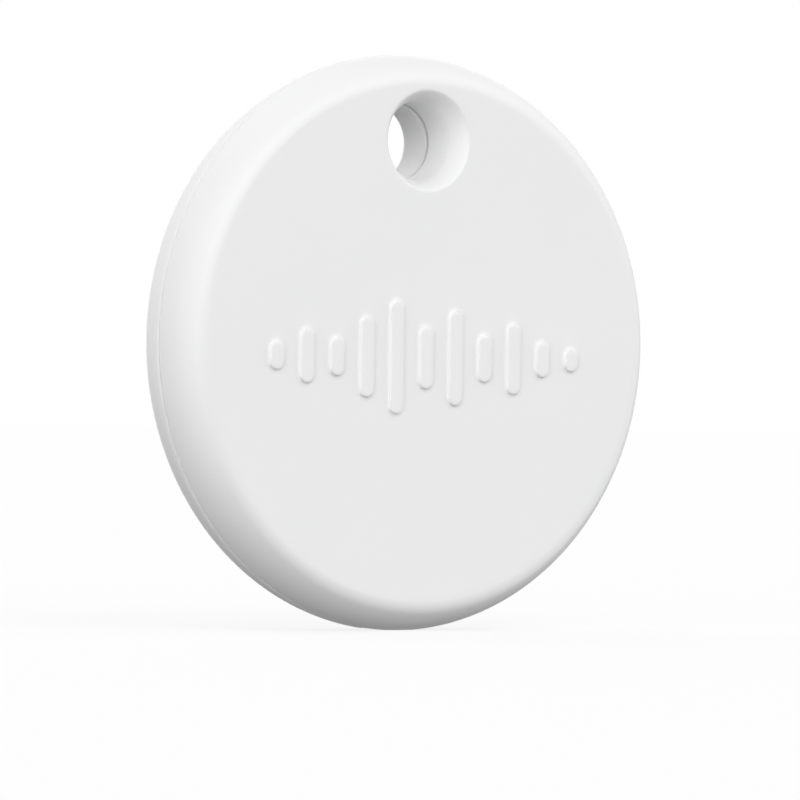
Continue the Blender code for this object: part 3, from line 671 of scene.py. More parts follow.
# ---- sounder
def make_sounder(m):
    """Brass disc with its silvered ceramic, glued behind the front wall; heights run towards the rear."""
    glue = Parts("sounder_glue", REARWARD)
    glue.spin(ring_section(5.2, 9.6, *span("sounder_adhesive"), 0.015), m["adhesive"], 96)
    glue.finish("front_shell", "adhesive", "sounder_adhesive")

    low, high = span("sounder_plate")
    brass = Parts("sounder_disc", REARWARD)
    brass.spin(plate(10.0, low, high, 0.05), m["brass"], 128)
    brass.box((1.1, 0.9, 0.03), (0, 8.7, high + 0.005), m["tin"], 0.01)
    brass.finish("front_shell", "brass", "sounder_plate")

    low, high = span("sounder_ceramic")
    disc = Parts("sounder_crystal", REARWARD)
    disc.spin(plate(7.0, low, high - 0.02, 0.03), m["ceramic"], 128)
    disc.spin(plate(6.55, high - 0.03, high, 0.01), m["silver"], 128)
    disc.finish("front_shell", "ceramic", "sounder_ceramic")


# ---- seals
def make_seals(m):
    top, bottom = span("perimeter_seal")
    rim_seal = Parts("rim_gasket", local_frame(0, 0, 0, outward=-1))
    inner, outer = 17.8, 18.55
    crown = (inner + outer) / 2
    section = (corner((inner, top + 0.25), (inner, top + 0.16), (inner + 0.1, top + 0.14), 3)
               + corner((inner + 0.18, top + 0.12), (crown, top - 0.1), (outer - 0.18, top + 0.12), 8)
               + corner((outer - 0.1, top + 0.14), (outer, top + 0.16), (outer, top + 0.25), 3)
               + [(outer, bottom - 0.05), (outer - 0.05, bottom), (inner + 0.05, bottom),
                  (inner, bottom - 0.05)])
    rim_seal.spin(section, m["rubber"], RING)
    rim_seal.finish("seal_pair", "seal_rubber", "perimeter_seal")

    hole_seal = Parts("hole_gasket", local_frame(0, HOLE_Z, 0, outward=-1))
    hole_seal.spin(ring_section(3.0, 3.45, *span("keyring_seal"), 0.12), m["rubber"], HOLE_RING)
    hole_seal.finish("seal_pair", "seal_rubber", "keyring_seal")


# ---- board
NOTCH_RADIUS = 4.4
PIN_HOLE_RADIUS = 0.55
BOARD_EDGE = 0.05
VIA_CIRCLE = 15.7
VIA_COUNT = 60
TRACK_WIDTH = 0.16


def make_board(m):
    """Laminate with a mask on both sides, plated post holes, vias, exposed pads and tracks."""
    board = turned("board", plate(BOARD_RADIUS, BOARD_FRONT, BOARD_BACK, BOARD_EDGE, 2), RING)
    low, high = BOARD_FRONT - 0.5, BOARD_BACK + 0.5
    drill(board, NOTCH_RADIUS, low, high, HOLE_RING, (0.0, HOLE_Z))
    for place in POSTS:
        drill(board, PIN_HOLE_RADIUS, low, high, 32, place)
    finish_piece(board, "board", [m["mask"]], "circuit_board")

    copper = Parts("board_pads", local_frame(0, 0, BOARD_FRONT))
    for place in POSTS:
        ring = ring_section(PIN_HOLE_RADIUS + 0.02, PIN_HOLE_RADIUS + 0.4, -0.01, 0.02, 0.005)
        copper.spin(ring, m["gold"], 32, place)
    pads = [(-1.2, CELL_Z + reach, 1.4) for reach in (8.7, 5.2)]
    pads += [(2.0 * i - 5.0, -13.5, 1.2) for i in range(6)]
    for x, z, width in pads:
        copper.box((width, 1.2, 0.03), (x, z, 0.01), m["gold"], 0.008, 1)
    for i in range(VIA_COUNT):
        place = polar(VIA_CIRCLE, 360.0 * i / VIA_COUNT)
        if math.hypot(place[0], place[1] - HOLE_Z) > NOTCH_RADIUS + 0.4:
            copper.spin(ring_section(0.1, 0.24, -0.01, 0.015, 0.004), m["gold"], 16, place)
    copper.finish("board", "solder_mask")

    tracks = Parts("board_tracks", local_frame(0, 0, BOARD_FRONT))
    for start, radius, bend, inner in ((128, 9.4, 20, 5.0), (134, 9.2, 14, 4.6), (140, 9.0, 8, 4.2),
                                       (146, 9.2, 2, 4.6), (152, 9.4, -4, 5.0), (352, 11.3, 4, 3.6),
                                       (346, 11.3, -2, 4.0), (12, 11.9, 8, 4.4)):
        run_track(tracks, m["track"], start, radius, bend, inner)
    for radius, start, end in ((10.6, 190, 320), (11.0, 192, 318), (11.4, 194, 316), (12.4, 215, 300)):
        arc_track(tracks, m["track"], radius, start, end)
    tracks.finish("board", "solder_mask")


def track_piece(parts, material, length, place, angle):
    parts.box((length, TRACK_WIDTH, 0.02), (*place, 0.004), material, 0.006, 1, angle)


def run_track(parts, material, start, radius, bend, inner):
    """A track from a chip in towards the switch: straight, then turned by a bend."""
    first = Vector(polar(radius, start))
    last = Vector(polar(inner, start + bend, (0.0, CELL_Z)))
    middle = first.lerp(last, 0.45) + Vector((0.4, 0.0))
    for p, q in ((first, middle), (middle, last)):
        angle = math.degrees(math.atan2(q.y - p.y, q.x - p.x))
        track_piece(parts, material, (q - p).length + 0.1, (p + q) / 2, angle)


def arc_track(parts, material, radius, start, end):
    steps = int((end - start) / 5)
    length = math.radians((end - start) / steps) * radius * 1.04
    for i in range(steps):
        angle = start + (end - start) * (i + 0.5) / steps
        track_piece(parts, material, length, polar(radius, angle), angle + 90)


# ---- components
FRONT, REAR = 1, -1
SOLDER = 0.03
LEAD_PITCH = 0.5


def seat(node, radius, angle, side):
    """Empty piece seated on the board, its axes running outwards, round and up from the surface."""
    depth = BOARD_FRONT if side == FRONT else BOARD_BACK
    return Parts(node + "_detail", local_frame(*polar(radius, angle), depth, angle, side))


def make_chip(m, node, size, radius, angle, leads):
    """Flat no-lead chip: moulded body, a ring of soldered lands and a round index mark."""
    chip = seat(node, radius, angle, FRONT)
    length, width, height = size
    chip.box(size, (0, 0, SOLDER + height / 2), m["epoxy"], 0.05, 3)
    mark = min(length, width) / 2 - 0.55 if length > 2.5 else 0.5
    dot = ring_section(0.16, 0.24, height + 0.02, height + 0.04, 0.005)
    chip.spin(dot, m["epoxy_worn"], 32, (-mark, mark))
    for i in range(leads):
        shift = (i - (leads - 1) / 2) * LEAD_PITCH
        for c, si in ((1, 0), (0, 1), (-1, 0), (0, -1)):
            centre = (c * length / 2 - si * shift, si * width / 2 + c * shift, 0.06)
            chip.box((0.3, 0.26, 0.12) if c else (0.26, 0.3, 0.12), centre, m["tin"], 0.02, 1)
    chip.finish("board", "chip_plastic", node)


def make_block(m, node, size, radius, angle, side, body, slot):
    """Two-terminal block: fired body with tinned ends and a bead of solder at each end."""
    part = seat(node, radius, angle, side)
    length, width, height = size
    middle = SOLDER + height / 2
    part.box([value - 0.02 for value in size], (0, 0, middle), m[body], 0.04, 3)
    axis = 0 if length >= width else 1
    long, wide = max(length, width), min(length, width)
    end = 0.22 * long
    for sign in (-1, 1):
        for run, across, tall, reach, lift, edge in ((end, wide, height, (long - end) / 2, middle, 0.05),
                                                     (0.22, wide * 0.9, 0.2, long / 2 + SOLDER, 0.1, 0.08)):
            bar, place = [across, across, tall], [0, 0, lift]
            bar[axis], place[axis] = run, sign * reach
            part.box(bar, place, m["tin"], edge, 3)
    part.finish("board", slot, node)


def make_crystal(m, node, size, radius, angle):
    """Ceramic tray with a seam-welded metal lid."""
    crystal = seat(node, radius, angle, FRONT)
    length, width, height = size
    crystal.box((length, width, height * 0.6), (0, 0, SOLDER + height * 0.3), m["tray"], 0.05, 3)
    crystal.box((length - 0.14, width - 0.14, 0.1), (0, 0, SOLDER + height * 0.62), m["steel"], 0.04, 3)
    crystal.box((length - 0.36, width - 0.36, height * 0.36), (0, 0, SOLDER + height * 0.82 - 0.01),
                m["steel"], 0.06, 3)
    for u in (0.12 - length / 2, length / 2 - 0.12):
        for v in (0.14 - width / 2, width / 2 - 0.14):
            crystal.box((0.36, 0.4, 0.1), (u, v, 0.05), m["tin"], 0.03)
    crystal.finish("board", "nickel_steel", node)


def make_antenna(m):
    """Ceramic bar with a printed zigzag and soldered ends."""
    antenna = seat("chip_antenna", 14.2, 38, FRONT)
    antenna.box((1.58, 3.18, 0.66), (0, 0, 0.36), m["antenna"], 0.05, 3)
    for sign in (-1, 1):
        antenna.box((1.6, 0.35, 0.7), (0, sign * 1.42, 0.38), m["tin"], 0.05, 3)
    for i in range(5):
        lean = 12 if i % 2 else -12
        antenna.box((1.3, 0.14, 0.03), (0, -0.88 + 0.44 * i, 0.695), m["silver"], 0.01, 1, lean)
    antenna.finish("board", "antenna_ceramic", "chip_antenna")


def make_power_inductor(m):
    """Wire wound on a drum core between two square flanges."""
    coil = seat("boost_inductor", 12.2, 38, REAR)
    coil.box((4.0, 4.0, 0.45), (0, 0, 0.26), m["ferrite"], 0.15, 3)
    coil.box((3.9, 3.9, 0.4), (0, 0, 1.6), m["ferrite"], 0.19, 3)
    coil.spin([(0, 1.5)] + [(1.62 + 0.09 * abs(math.sin(math.pi * i / 6)), 1.45 - i / 6 * 0.17)
                            for i in range(37)] + [(0, 0.4)], m["copper"])
    for sign in (-1, 1):
        coil.box((0.9, 3.2, 0.12), (sign * 1.5, 0, 0.06), m["tin"])
    coil.finish("board", "ferrite", "boost_inductor")


def make_transistor(m):
    """Small-outline transistor with one lead facing two."""
    transistor = seat("sounder_transistor", 13.6, 17, REAR)
    transistor.box((1.28, 2.88, 0.42), (0, 0, 0.34), m["epoxy"], 0.06, 3)
    transistor.box((1.16, 2.76, 0.5), (0, 0, 0.74), m["epoxy"], 0.1, 3)
    for sign, v in ((1, 0.0), (-1, 0.95), (-1, -0.95)):
        points = [(sign * x, h) for x, h in ((0.55, 0.5), (0.8, 0.5), (0.86, 0.07), (1.15, 0.07))]
        transistor.ribbon(points, 0.4, 0.1, m["tin"], v, 2)
    transistor.finish("board", "chip_plastic", "sounder_transistor")


def make_components(m):
    make_chip(m, "radio_chip", (5.0, 5.0, 0.78), 12.2, 140, 9)
    make_chip(m, "motion_sensor", (2.0, 2.0, 0.78), 13.3, 12, 3)
    make_chip(m, "sounder_driver_chip", (3.0, 3.0, 0.73), 13.3, 352, 5)
    make_crystal(m, "main_crystal", (1.6, 2.0, 0.5), 13.4, 163)
    make_crystal(m, "clock_crystal", (1.2, 2.0, 0.5), 13.4, 178)
    make_antenna(m)
    make_power_inductor(m)
    make_transistor(m)
    small, low = (1.0, 0.5, 0.48), (1.0, 0.5, 0.33)
    capacitor, resistor = ("fired", "capacitor_ceramic"), ("epoxy", "chip_plastic")
    for node, size, radius, angle, side, kind in (
            ("antenna_inductor", (0.5, 1.0, 0.48), 12.6, 46, FRONT, ("ferrite", "ferrite")),
            ("antenna_capacitor", (0.5, 1.0, 0.48), 11.4, 46, FRONT, capacitor),
            ("radio_capacitor_a", small, 10.9, 155.5, FRONT, capacitor),
            ("radio_capacitor_b", small, 14.6, 155.5, FRONT, capacitor),
            ("crystal_capacitor_a", small, 12.7, 170.5, FRONT, capacitor),
            ("crystal_capacitor_b", small, 14.2, 170.5, FRONT, capacitor),
            ("supply_capacitor", (0.8, 1.6, 0.68), 13.4, 190, FRONT, capacitor),
            ("sensor_resistor_a", low, 12.6, 22, FRONT, resistor),
            ("sensor_resistor_b", low, 14.2, 22, FRONT, resistor),
            ("bulk_capacitor", (1.6, 3.2, 1.38), 13.2, 150, REAR, capacitor)):
        make_block(m, node, size, radius, angle, side, *kind)


# ---- switch and contacts
def make_switch(m):
    """Tray with a well, snap dome, retaining film with a punched hole, and the button on top."""
    low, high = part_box("switch_base")
    side = (high.x - low.x) / MM
    middle = (0.0, CELL_Z)
    top, bottom = span("switch_base")
    dome_top, dome_foot = span("switch_dome")
    floor = dome_foot + 0.015
    base = block("switch_tray", (side, side, bottom - top), (*middle, (top + bottom) / 2), 0.04)
    boolean(base, turned("well", [(0, top - 0.2), (1.38, top - 0.2), (1.35, floor), (0, floor)], 64, middle))
    finish_piece(base, "board", [m["epoxy"]], "switch_base")

    rise = dome_foot - dome_top
    dome = Parts("switch_snap_dome", local_frame(*middle, dome_foot))
    quarter = [(math.sin(math.pi / 24 * i), math.cos(math.pi / 24 * i)) for i in range(13)]
    outside = [(1.2 * r, rise * h) for r, h in quarter]
    inside = [(1.12 * r, (rise - 0.04) * h) for r, h in quarter]
    dome.spin(outside + inside[::-1], m["steel"])
    dome.finish("board", "nickel_steel", "switch_dome")

    top, bottom = span("switch_retainer")
    width = side - 0.02
    film = block("switch_film", (width, width, bottom - top), (*middle, (top + bottom) / 2), 0.02, 2)
    drill(film, 0.8, top - 0.2, bottom + 0.2, 64, middle)
    finish_piece(film, "board", [m["film"]], "switch_retainer")

    top, bottom = span("switch_plunger")
    plunger = Parts("switch_button", local_frame(*middle, bottom))
    tall = bottom - top
    plunger.spin([(0, tall - 0.015), (0.25, tall - 0.01), (0.42, tall)] + plate(0.6, 0, tall, 0.05)[1:],
                 m["epoxy_worn"])
    plunger.finish("plunger", "chip_plastic", "switch_plunger")


def make_contacts(m):
    """Two spring leaves under the sounder, the clip beside the can and the plate under the cap."""
    for node, reach, lift, tip in (("sounder_contact_rim", 8.7, 0.46, 0.40),
                                   ("sounder_contact_disc", 5.2, 0.26, 0.20)):
        leaf = Parts(node + "_leaf", local_frame(0, CELL_Z + reach, BOARD_FRONT))
        leaf.ribbon([(-1.6, 0.1), (-0.6, 0.1), (-0.1, 0.1 + lift * 0.6), (0.9, 0.1 + lift), (1.5, 0.1 + tip)],
                    0.9, 0.08, m["spring"])
        leaf.box((1.3, 1.3, 0.05), (-1.1, 0, 0.035), m["tin"], 0.02)
        leaf.finish("board", "nickel_steel", node)

    clip = Parts("battery_clip_leaf", local_frame(0, CELL_Z, BOARD_BACK, outward=-1))
    path = [(14.2, 0.12), (11.6, 0.12), (10.9, 0.62), (10.45, 1.12), (10.3, 1.72), (10.55, 2.52)]
    for across in (-0.85, 0.85):
        clip.ribbon(path, 1.3, 0.18, m["spring"], across)
    clip.box((2.2, 3.2, 0.16), (13.1, 0, 0.1), m["spring"], 0.04)
    clip.box((0.5, 3.0, 0.1), (14.2, 0, 0.06), m["tin"], 0.04)
    clip.finish("board", "nickel_steel", "battery_clip")

    low, high = span("battery_contact")
    thick = high - low
    base = thick * 0.7
    pad = Parts("battery_contact_plate", local_frame(0, CELL_Z, low, outward=-1))
    pad.spin([(0, 0), (3.2, 0)] + corner((3.2, thick * 0.5), (3.2, base), (3.1, base), 3)
             + [(2.6, base), (2.5, thick), (2.2, thick), (2.1, base), (1.3, base), (1.2, thick), (0.9, thick),
                (0.8, base), (0, base)], m["spring"])
    pad.finish("board", "nickel_steel", "battery_contact")


# ---- cell
CELL_SKIN = 0.25


def make_cell(m):
    """Coin cell: rolled can, gasket ring, stepped cap; heights run from the cap to the can's base."""
    crimp, bottom = span("cell_can")
    cap_top, _ = span("cell_cap")
    inner = CELL_RADIUS - CELL_SKIN

    # The can's section starts and ends on the axis: up the inside to the crimp, then down the outside
    can = Parts("cell_case", REARWARD)
    section = [(0, bottom - CELL_SKIN), (inner, bottom - CELL_SKIN), (inner, crimp + CELL_SKIN),
               (9.35, crimp + CELL_SKIN)]
    section += corner((9.35, crimp + 0.05), (9.38, crimp), (9.5, crimp), 3)
    section += corner((9.7, crimp + 0.02), (CELL_RADIUS, crimp + 0.05), (CELL_RADIUS, crimp + 0.4), 8)
    section += corner((CELL_RADIUS, bottom - 0.35), (CELL_RADIUS, bottom), (CELL_RADIUS - 0.35, bottom), 6)
    can.spin(section + [(8.9, bottom), (8.8, bottom - 0.05), (0, bottom - 0.05)], m["steel"], RING)
    can.finish("cell", "nickel_steel", "cell_can")

    top, base = span("cell_gasket")
    outer = inner - 0.05
    gasket = Parts("cell_ring", REARWARD)
    gasket.spin([(9.3, top + 0.05), (9.3, crimp + CELL_SKIN + 0.05), (outer, crimp + CELL_SKIN + 0.05),
                 (outer, base), (outer - 0.4, base), (outer - 0.4, crimp + 0.6), (8.95, crimp + 0.6),
                 (8.95, top + 0.05), (9.0, top), (9.25, top)], m["gasket"], RING)
    gasket.finish("cell", "cell_gasket", "cell_gasket")

    cap = Parts("cell_lid", REARWARD)
    rings = [(0, cap_top)]
    for radius in (2.0, 3.2, 4.4, 5.6):
        rings += [(radius - 0.12, cap_top), (radius, cap_top + 0.03), (radius + 0.12, cap_top)]
    rings += corner((8.2, cap_top), (8.5, cap_top), (8.62, cap_top + 0.12), 4)
    rings += corner((8.8, cap_top + 0.3), (8.9, cap_top + 0.4), (8.9, cap_top + 0.6), 4)
    rings += [(8.9, crimp + 0.9), (8.65, crimp + 0.9), (8.65, cap_top + 0.5), (8.25, cap_top + 0.25),
              (0, cap_top + 0.25)]
    cap.spin(rings, m["steel"], RING)
    cap.finish("cell", "nickel_steel", "cell_cap")


# ---- materials
class Graph:
    """Short way to add and link shader nodes."""

    def __init__(self, tree):
        self.tree = tree
        tree.nodes.clear()

    def add(self, kind, settings=None, **inputs):
        node = self.tree.nodes.new(kind)
        for key, value in (settings or {}).items():
            setattr(node, key, value)
        for key, value in inputs.items():
            self.feed(node.inputs[key.replace("_", " ")], value)
        return node

    def feed(self, socket, value):
        if isinstance(value, bpy.types.NodeSocket):
            self.tree.links.new(value, socket)
        else:
            socket.default_value = value

    def math(self, operation, a, b=0.0, c=0.0):
        node = self.add("ShaderNodeMath", {"operation": operation})
        for socket, value in zip(node.inputs, (a, b, c)):
            self.feed(socket, value)
        return node.outputs[0]

    def vector(self, operation, a, b):
        node = self.add("ShaderNodeVectorMath", {"operation": operation})
        self.feed(node.inputs[0], a)
        self.feed(node.inputs[1], b)
        return node.outputs["Value" if operation == "DOT_PRODUCT" else "Vector"]

    def split(self, vector):
        return self.add("ShaderNodeSeparateXYZ", Vector=vector).outputs

    def mix(self, factor, a, b):
        node = self.add("ShaderNodeMix", {"data_type": "RGBA"})
        for key, value in (("Factor", factor), ("A", a), ("B", b)):
            self.feed(node.inputs[key], (*value, 1.0) if isinstance(value, tuple) else value)
        return node.outputs["Result"]

    def noise(self, place, scale, detail, roughness=0.5):
        node = self.add("ShaderNodeTexNoise", Vector=place, Scale=scale, Detail=detail, Roughness=roughness)
        return node.outputs["Fac"]

    def bump(self, height, strength, distance, invert=False):
        node = self.add("ShaderNodeBump", {"invert": invert}, Strength=strength, Distance=distance * MM,
                        Height=height)
        return node.outputs["Normal"]

    def end(self, shader, kind="Material"):
        out = self.add("ShaderNodeOutput" + kind)
        self.tree.links.new(shader.outputs[0], out.inputs["Surface"])

    def millimetres(self):
        coords = self.add("ShaderNodeTexCoord").outputs["Object"]
        return self.vector("MULTIPLY", coords, (1 / MM,) * 3)


def new_material(name):
    mat = bpy.data.materials.new(name)
    mat.use_nodes = True
    return mat, Graph(mat.node_tree)


def moulded_plastic():
    """Satin white ABS: fine spark-eroded grain, faint tone drift and uneven gloss."""
    mat, g = new_material("moulded_white")
    place = g.millimetres()
    drift = g.noise(place, 0.12, 3.0, 0.55)
    grain = g.noise(place, 9.0, 3.0, 0.6)
    height = g.math("MULTIPLY_ADD", g.noise(place, 26.0, 2.0), 0.5, grain)
    rough = g.math("MULTIPLY_ADD", grain, 0.08, g.math("MULTIPLY_ADD", drift, 0.06, 0.38))
    colour = g.mix(drift, (0.795, 0.797, 0.800), (0.815, 0.814, 0.811))
    g.end(g.add("ShaderNodeBsdfPrincipled", Base_Color=colour, Roughness=rough, IOR=1.53,
                Normal=g.bump(height, 0.06, 0.02)))
    return mat


def surface(name, dark, light, grain=3.0, rough=0.4, vary=0.1, metal=0.0, bump=0.05, stretch=(1.0, 1.0, 1.0)):
    """Material whose tone, gloss and relief follow one grain; stretch draws the grain out along an axis."""
    mat, g = new_material(name)
    field = g.noise(g.vector("MULTIPLY", g.millimetres(), stretch), grain, 4.0, 0.6)
    contrast = g.math("SMOOTH_MIN", g.math("MULTIPLY_ADD", field, 2.2, -0.6), 1.0, 0.1)
    colour = g.mix(g.math("MAXIMUM", contrast, 0.0), dark, light)
    gloss = g.math("MULTIPLY_ADD", field, vary, rough - vary / 2)
    g.end(g.add("ShaderNodeBsdfPrincipled", Base_Color=colour, Roughness=gloss, Metallic=metal, IOR=1.5,
                Normal=g.bump(field, bump, 0.03)))
    return mat


def brushed_steel():
    """Nickel-plated steel with fine turning marks round the cell's axis."""
    mat, g = new_material("nickel_plate")
    place = g.vector("SUBTRACT", g.millimetres(), (0.0, 0.0, CELL_Z))
    split = g.split(place)
    away = g.math("SQRT", g.math("ADD", g.math("POWER", split["X"], 2.0), g.math("POWER", split["Z"], 2.0)))
    rings = g.add("ShaderNodeCombineXYZ", X=g.math("MULTIPLY", away, 14.0),
                  Y=g.math("MULTIPLY", split["Y"], 9.0))
    marks = g.noise(rings.outputs[0], 1.0, 3.0)
    cloud = g.noise(place, 0.5, 4.0)
    gloss = g.math("MULTIPLY_ADD", cloud, 0.1, g.math("MULTIPLY_ADD", marks, 0.1, 0.17))
    colour = g.mix(cloud, (0.60, 0.585, 0.555), (0.68, 0.67, 0.645))
    g.end(g.add("ShaderNodeBsdfPrincipled", Base_Color=colour, Roughness=gloss, Metallic=1.0,
                Normal=g.bump(marks, 0.12, 0.02)))
    return mat


def solder_mask():
    """Green mask over a hatched copper pour, with the woven laminate showing on the cut edge."""
    mat, g = new_material("green_mask")
    place = g.millimetres()
    split = g.split(place)
    flat = g.add("ShaderNodeCombineXYZ", X=split["X"], Y=split["Z"]).outputs[0]
    pour = g.add("ShaderNodeTexBrick", {"offset": 0.37, "squash": 1.0}, Vector=flat, Scale=1.0,
                 Brick_Width=3.1, Row_Height=0.83, Mortar_Size=0.07, Mortar_Smooth=0.1).outputs["Fac"]
    weave = g.add("ShaderNodeTexChecker", Vector=flat, Scale=2.6).outputs["Fac"]
    cloud = g.noise(place, 0.7, 3.0)
    copper = g.mix(cloud, (0.012, 0.125, 0.060), (0.020, 0.165, 0.080))
    bare = g.mix(weave, (0.008, 0.060, 0.032), (0.010, 0.072, 0.038))
    edge = g.mix(g.noise(place, 6.0, 2.0), (0.30, 0.29, 0.13), (0.42, 0.40, 0.20))
    facing = g.math("ABSOLUTE", g.split(g.add("ShaderNodeNewGeometry").outputs["Normal"])["Y"])
    colour = g.mix(g.math("GREATER_THAN", facing, 0.6), edge, g.mix(pour, copper, bare))
    g.end(g.add("ShaderNodeBsdfPrincipled", Base_Color=colour, IOR=1.5, Normal=g.bump(pour, 0.25, 0.03, True),
                Roughness=g.math("MULTIPLY_ADD", cloud, 0.1, 0.28)))
    return mat


def make_materials():
    return {
        "white": moulded_plastic(),
        "rubber": surface("silicone", (0.27, 0.27, 0.28), (0.33, 0.33, 0.34), 5.0, 0.72, 0.1, bump=0.1),
        "adhesive": surface("pressure_film", (0.72, 0.69, 0.57), (0.78, 0.75, 0.64), 1.5, 0.55, 0.2,
                            bump=0.15),
        "brass": surface("rolled_brass", (0.66, 0.48, 0.20), (0.78, 0.60, 0.30), 1.2, 0.3, 0.16, 1.0, 0.08,
                         (1.0, 1.0, 9.0)),
        "ceramic": surface("piezo_ceramic", (0.70, 0.67, 0.60), (0.80, 0.78, 0.72), 12.0, 0.55, 0.1,
                           bump=0.08),
        "silver": surface("fired_silver", (0.72, 0.71, 0.69), (0.82, 0.81, 0.79), 8.0, 0.42, 0.12, 0.9, 0.12),
        "mask": solder_mask(),
        "track": surface("masked_track", (0.018, 0.17, 0.08), (0.028, 0.21, 0.10), 4.0, 0.3, 0.08, bump=0.04),
        "gold": surface("gold_flash", (0.72, 0.52, 0.20), (0.83, 0.63, 0.30), 6.0, 0.3, 0.12, 1.0, 0.06),
        "tin": surface("solder", (0.55, 0.55, 0.56), (0.74, 0.74, 0.75), 4.0, 0.28, 0.16, 1.0, 0.2),
        "steel": brushed_steel(),
        "spring": surface("spring_steel", (0.56, 0.55, 0.52), (0.68, 0.67, 0.64), 2.0, 0.27, 0.12, 1.0, 0.06,
                          (12.0, 1.0, 1.0)),
        "epoxy": surface("moulded_epoxy", (0.016, 0.016, 0.018), (0.034, 0.034, 0.036), 14.0, 0.5, 0.16,
                         bump=0.16),
        "epoxy_worn": surface("polished_epoxy", (0.05, 0.05, 0.052), (0.075, 0.075, 0.078), 9.0, 0.34, 0.1),
        "fired": surface("capacitor_body", (0.36, 0.25, 0.16), (0.47, 0.34, 0.23), 9.0, 0.48, 0.14,
                         bump=0.08),
        "tray": surface("alumina_tray", (0.40, 0.36, 0.31), (0.50, 0.46, 0.40), 9.0, 0.55, 0.1),
        "antenna": surface("glazed_ceramic", (0.70, 0.72, 0.76), (0.79, 0.81, 0.84), 5.0, 0.35, 0.1),
        "ferrite": surface("ferrite_grain", (0.075, 0.075, 0.082), (0.13, 0.13, 0.14), 11.0, 0.6, 0.14,
                           bump=0.14),
        "copper": surface("enamelled_wire", (0.50, 0.20, 0.09), (0.66, 0.29, 0.14), 3.0, 0.3, 0.1, 0.9,
                          stretch=(1.0, 6.0, 1.0)),
        "film": surface("polyimide", (0.48, 0.23, 0.035), (0.60, 0.32, 0.07), 3.0, 0.32, 0.1),
        "gasket": surface("nylon_ring", (0.50, 0.51, 0.53), (0.60, 0.61, 0.63), 7.0, 0.52, 0.1),
        "cathode": surface("pressed_powder", (0.02, 0.02, 0.02), (0.045, 0.045, 0.045), 16.0, 0.85, 0.1,
                           bump=0.3),
        "lithium": surface("lithium_foil", (0.58, 0.58, 0.60), (0.72, 0.72, 0.74), 3.0, 0.4, 0.2, 1.0, 0.2),
        "separator": surface("fibre_mat", (0.80, 0.80, 0.78), (0.89, 0.89, 0.87), 20.0, 0.9, 0.1, bump=0.3),
    }


# ---- build
materials = make_materials()
finish_piece(make_front_shell(), "front_shell", [materials["white"]], "front_cover")
finish_piece(make_rear_shell(), "rear_shell", [materials["white"]], "rear_cover")
make_sounder(materials)
make_seals(materials)
make_board(materials)
make_components(materials)
make_switch(materials)
make_contacts(materials)
make_cell(materials)
for node, material in (("cell_cathode", "cathode"), ("cell_separator", "separator"),
                       ("cell_anode", "lithium")):
    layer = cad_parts[node].data
    layer.materials.clear()
    layer.materials.append(materials[material])


# ---- studio
CAMERA_DISTANCE = 450.0
CAMERA_AZIMUTH = -34.61
CAMERA_ELEVATION = -0.52
CAMERA_ROLL = -0.76
AIM_DEPTH = 3.2
SENSOR_WIDTH = 36.0
LENS = 300.285
BODY_SHIFT = (-0.099, 3.844)


def add_camera():
    data = bpy.data.cameras.new("camera")
    data.sensor_width = SENSOR_WIDTH
    data.lens = LENS
    data.clip_start = 0.01
    data.clip_end = 10.0
    cam = new_object("camera", data)
    back = toward(CAMERA_AZIMUTH, CAMERA_ELEVATION)
    turn = math.radians(CAMERA_AZIMUTH)
    right = Vector((math.cos(turn), math.sin(turn), 0))
    up = back.cross(right)
    roll = math.radians(CAMERA_ROLL)
    side = right * math.cos(roll) - up * math.sin(roll)
    over = right * math.sin(roll) + up * math.cos(roll)
    axes = Matrix((side, over, back)).transposed()
    aim = Vector((BODY_SHIFT[0], BODY_SHIFT[1], -CAMERA_DISTANCE)).normalized()
    swing = Vector((0, 0, -1)).rotation_difference(aim).to_matrix()
    target = Vector(at(0, 0, AIM_DEPTH)) * MM
    place = Matrix.Translation(target + back * CAMERA_DISTANCE * MM)
    cam.matrix_world = place @ (axes @ swing.inverted()).to_4x4()
    bpy.context.scene.camera = cam


def toward(azimuth, elevation):
    """Direction of a place seen from the tag; azimuth 0 is in front of it and 90 to its right."""
    turn, lift = math.radians(azimuth), math.radians(elevation)
    return Vector((math.sin(turn) * math.cos(lift), -math.cos(turn) * math.cos(lift), math.sin(lift)))


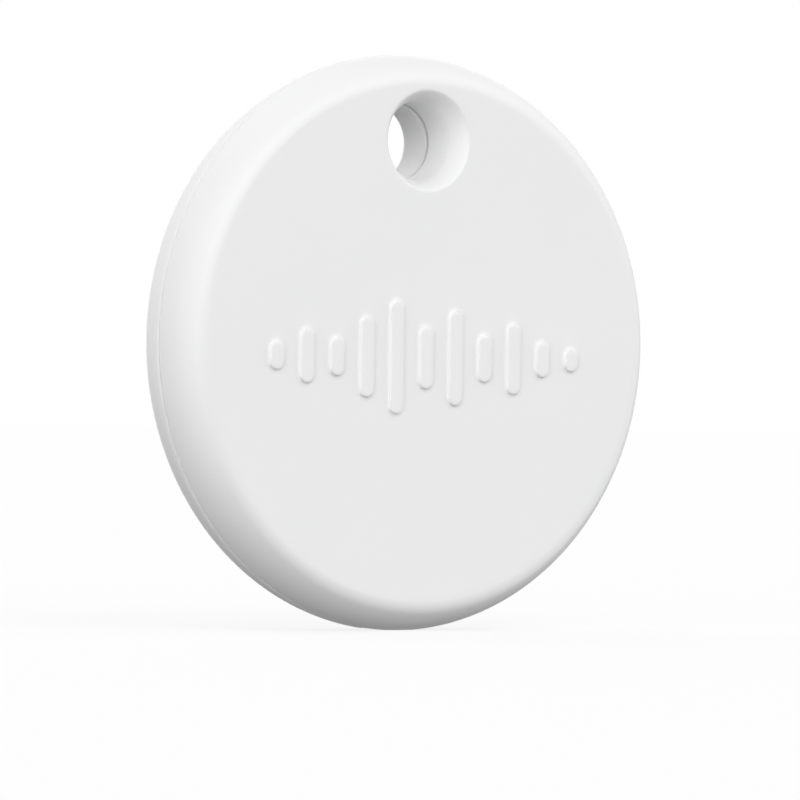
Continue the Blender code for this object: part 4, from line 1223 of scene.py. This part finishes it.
# Soft panels round the tag as (azimuth, elevation, strength)
PANELS = ((0, 40, 1.7), (-20, 20, 1.3), (-50, 30, 1.35), (-70, 10, 1.0), (-60, -20, 1.95), (35, 25, 1.15),
          (85, 35, 1.7), (80, -20, 2.2), (150, 10, 2.2), (-170, 55, 1.75), (-155, 15, 1.4), (-145, -15, 0.5))
PANEL_FOCUS = 10.0
WHITE = (1.0, 1.0, 1.0, 1.0)


def add_world():
    """Soft panels light the tag; the camera sees a plain white backdrop behind it."""
    world = bpy.data.worlds.new("studio")
    world.use_nodes = True
    bpy.context.scene.world = world
    g = Graph(world.node_tree)
    seen = g.add("ShaderNodeLightPath").outputs["Is Camera Ray"]
    look = g.add("ShaderNodeTexCoord").outputs["Generated"]
    total = 0.0
    for azimuth, elevation, strength in PANELS:
        facing = g.math("MAXIMUM", g.vector("DOT_PRODUCT", look, toward(azimuth, elevation)), 0.0)
        total = g.math("MULTIPLY_ADD", g.math("POWER", facing, PANEL_FOCUS), strength, total)
    light = g.add("ShaderNodeBackground", Color=WHITE, Strength=total)
    g.end(blended(g, seen, light, g.add("ShaderNodeBackground", Color=WHITE, Strength=1.0)), "World")


def blended(g, factor, a, b):
    node = g.add("ShaderNodeMixShader", Fac=factor)
    for i, shader in enumerate((a, b)):
        g.tree.links.new(shader.outputs[0], node.inputs[i + 1])
    return node


FLOOR_SIZE = 6000.0
FLOOR_SHADE = 0.22


def add_floor():
    """Pale sweep under the tag that only takes a faint shadow and throws no light back."""
    mesh = bpy.data.meshes.new("floor")
    half = FLOOR_SIZE / 2
    low = rear_low.z / MM - 0.02
    corners = ((-half, -half), (half, -half), (half, half), (-half, half))
    mesh.from_pydata([Vector((x, y, low)) * MM for x, y in corners], [], [(0, 1, 2, 3)])
    floor = new_object("floor", mesh)
    mat, g = new_material("pale_paper")
    tone = g.mix(g.noise(g.millimetres(), 0.4, 4.0), (0.88, 0.88, 0.88), (0.90, 0.90, 0.90))
    glow = g.add("ShaderNodeEmission", Color=WHITE, Strength=1.0)
    g.end(blended(g, FLOOR_SHADE, glow, g.add("ShaderNodeBsdfDiffuse", Color=tone)))
    mesh.materials.append(mat)
    floor.visible_diffuse = floor.visible_glossy = floor.visible_transmission = floor.visible_shadow = False


add_camera()
add_world()
add_floor()
bpy.context.scene.view_settings.view_transform = "Standard"
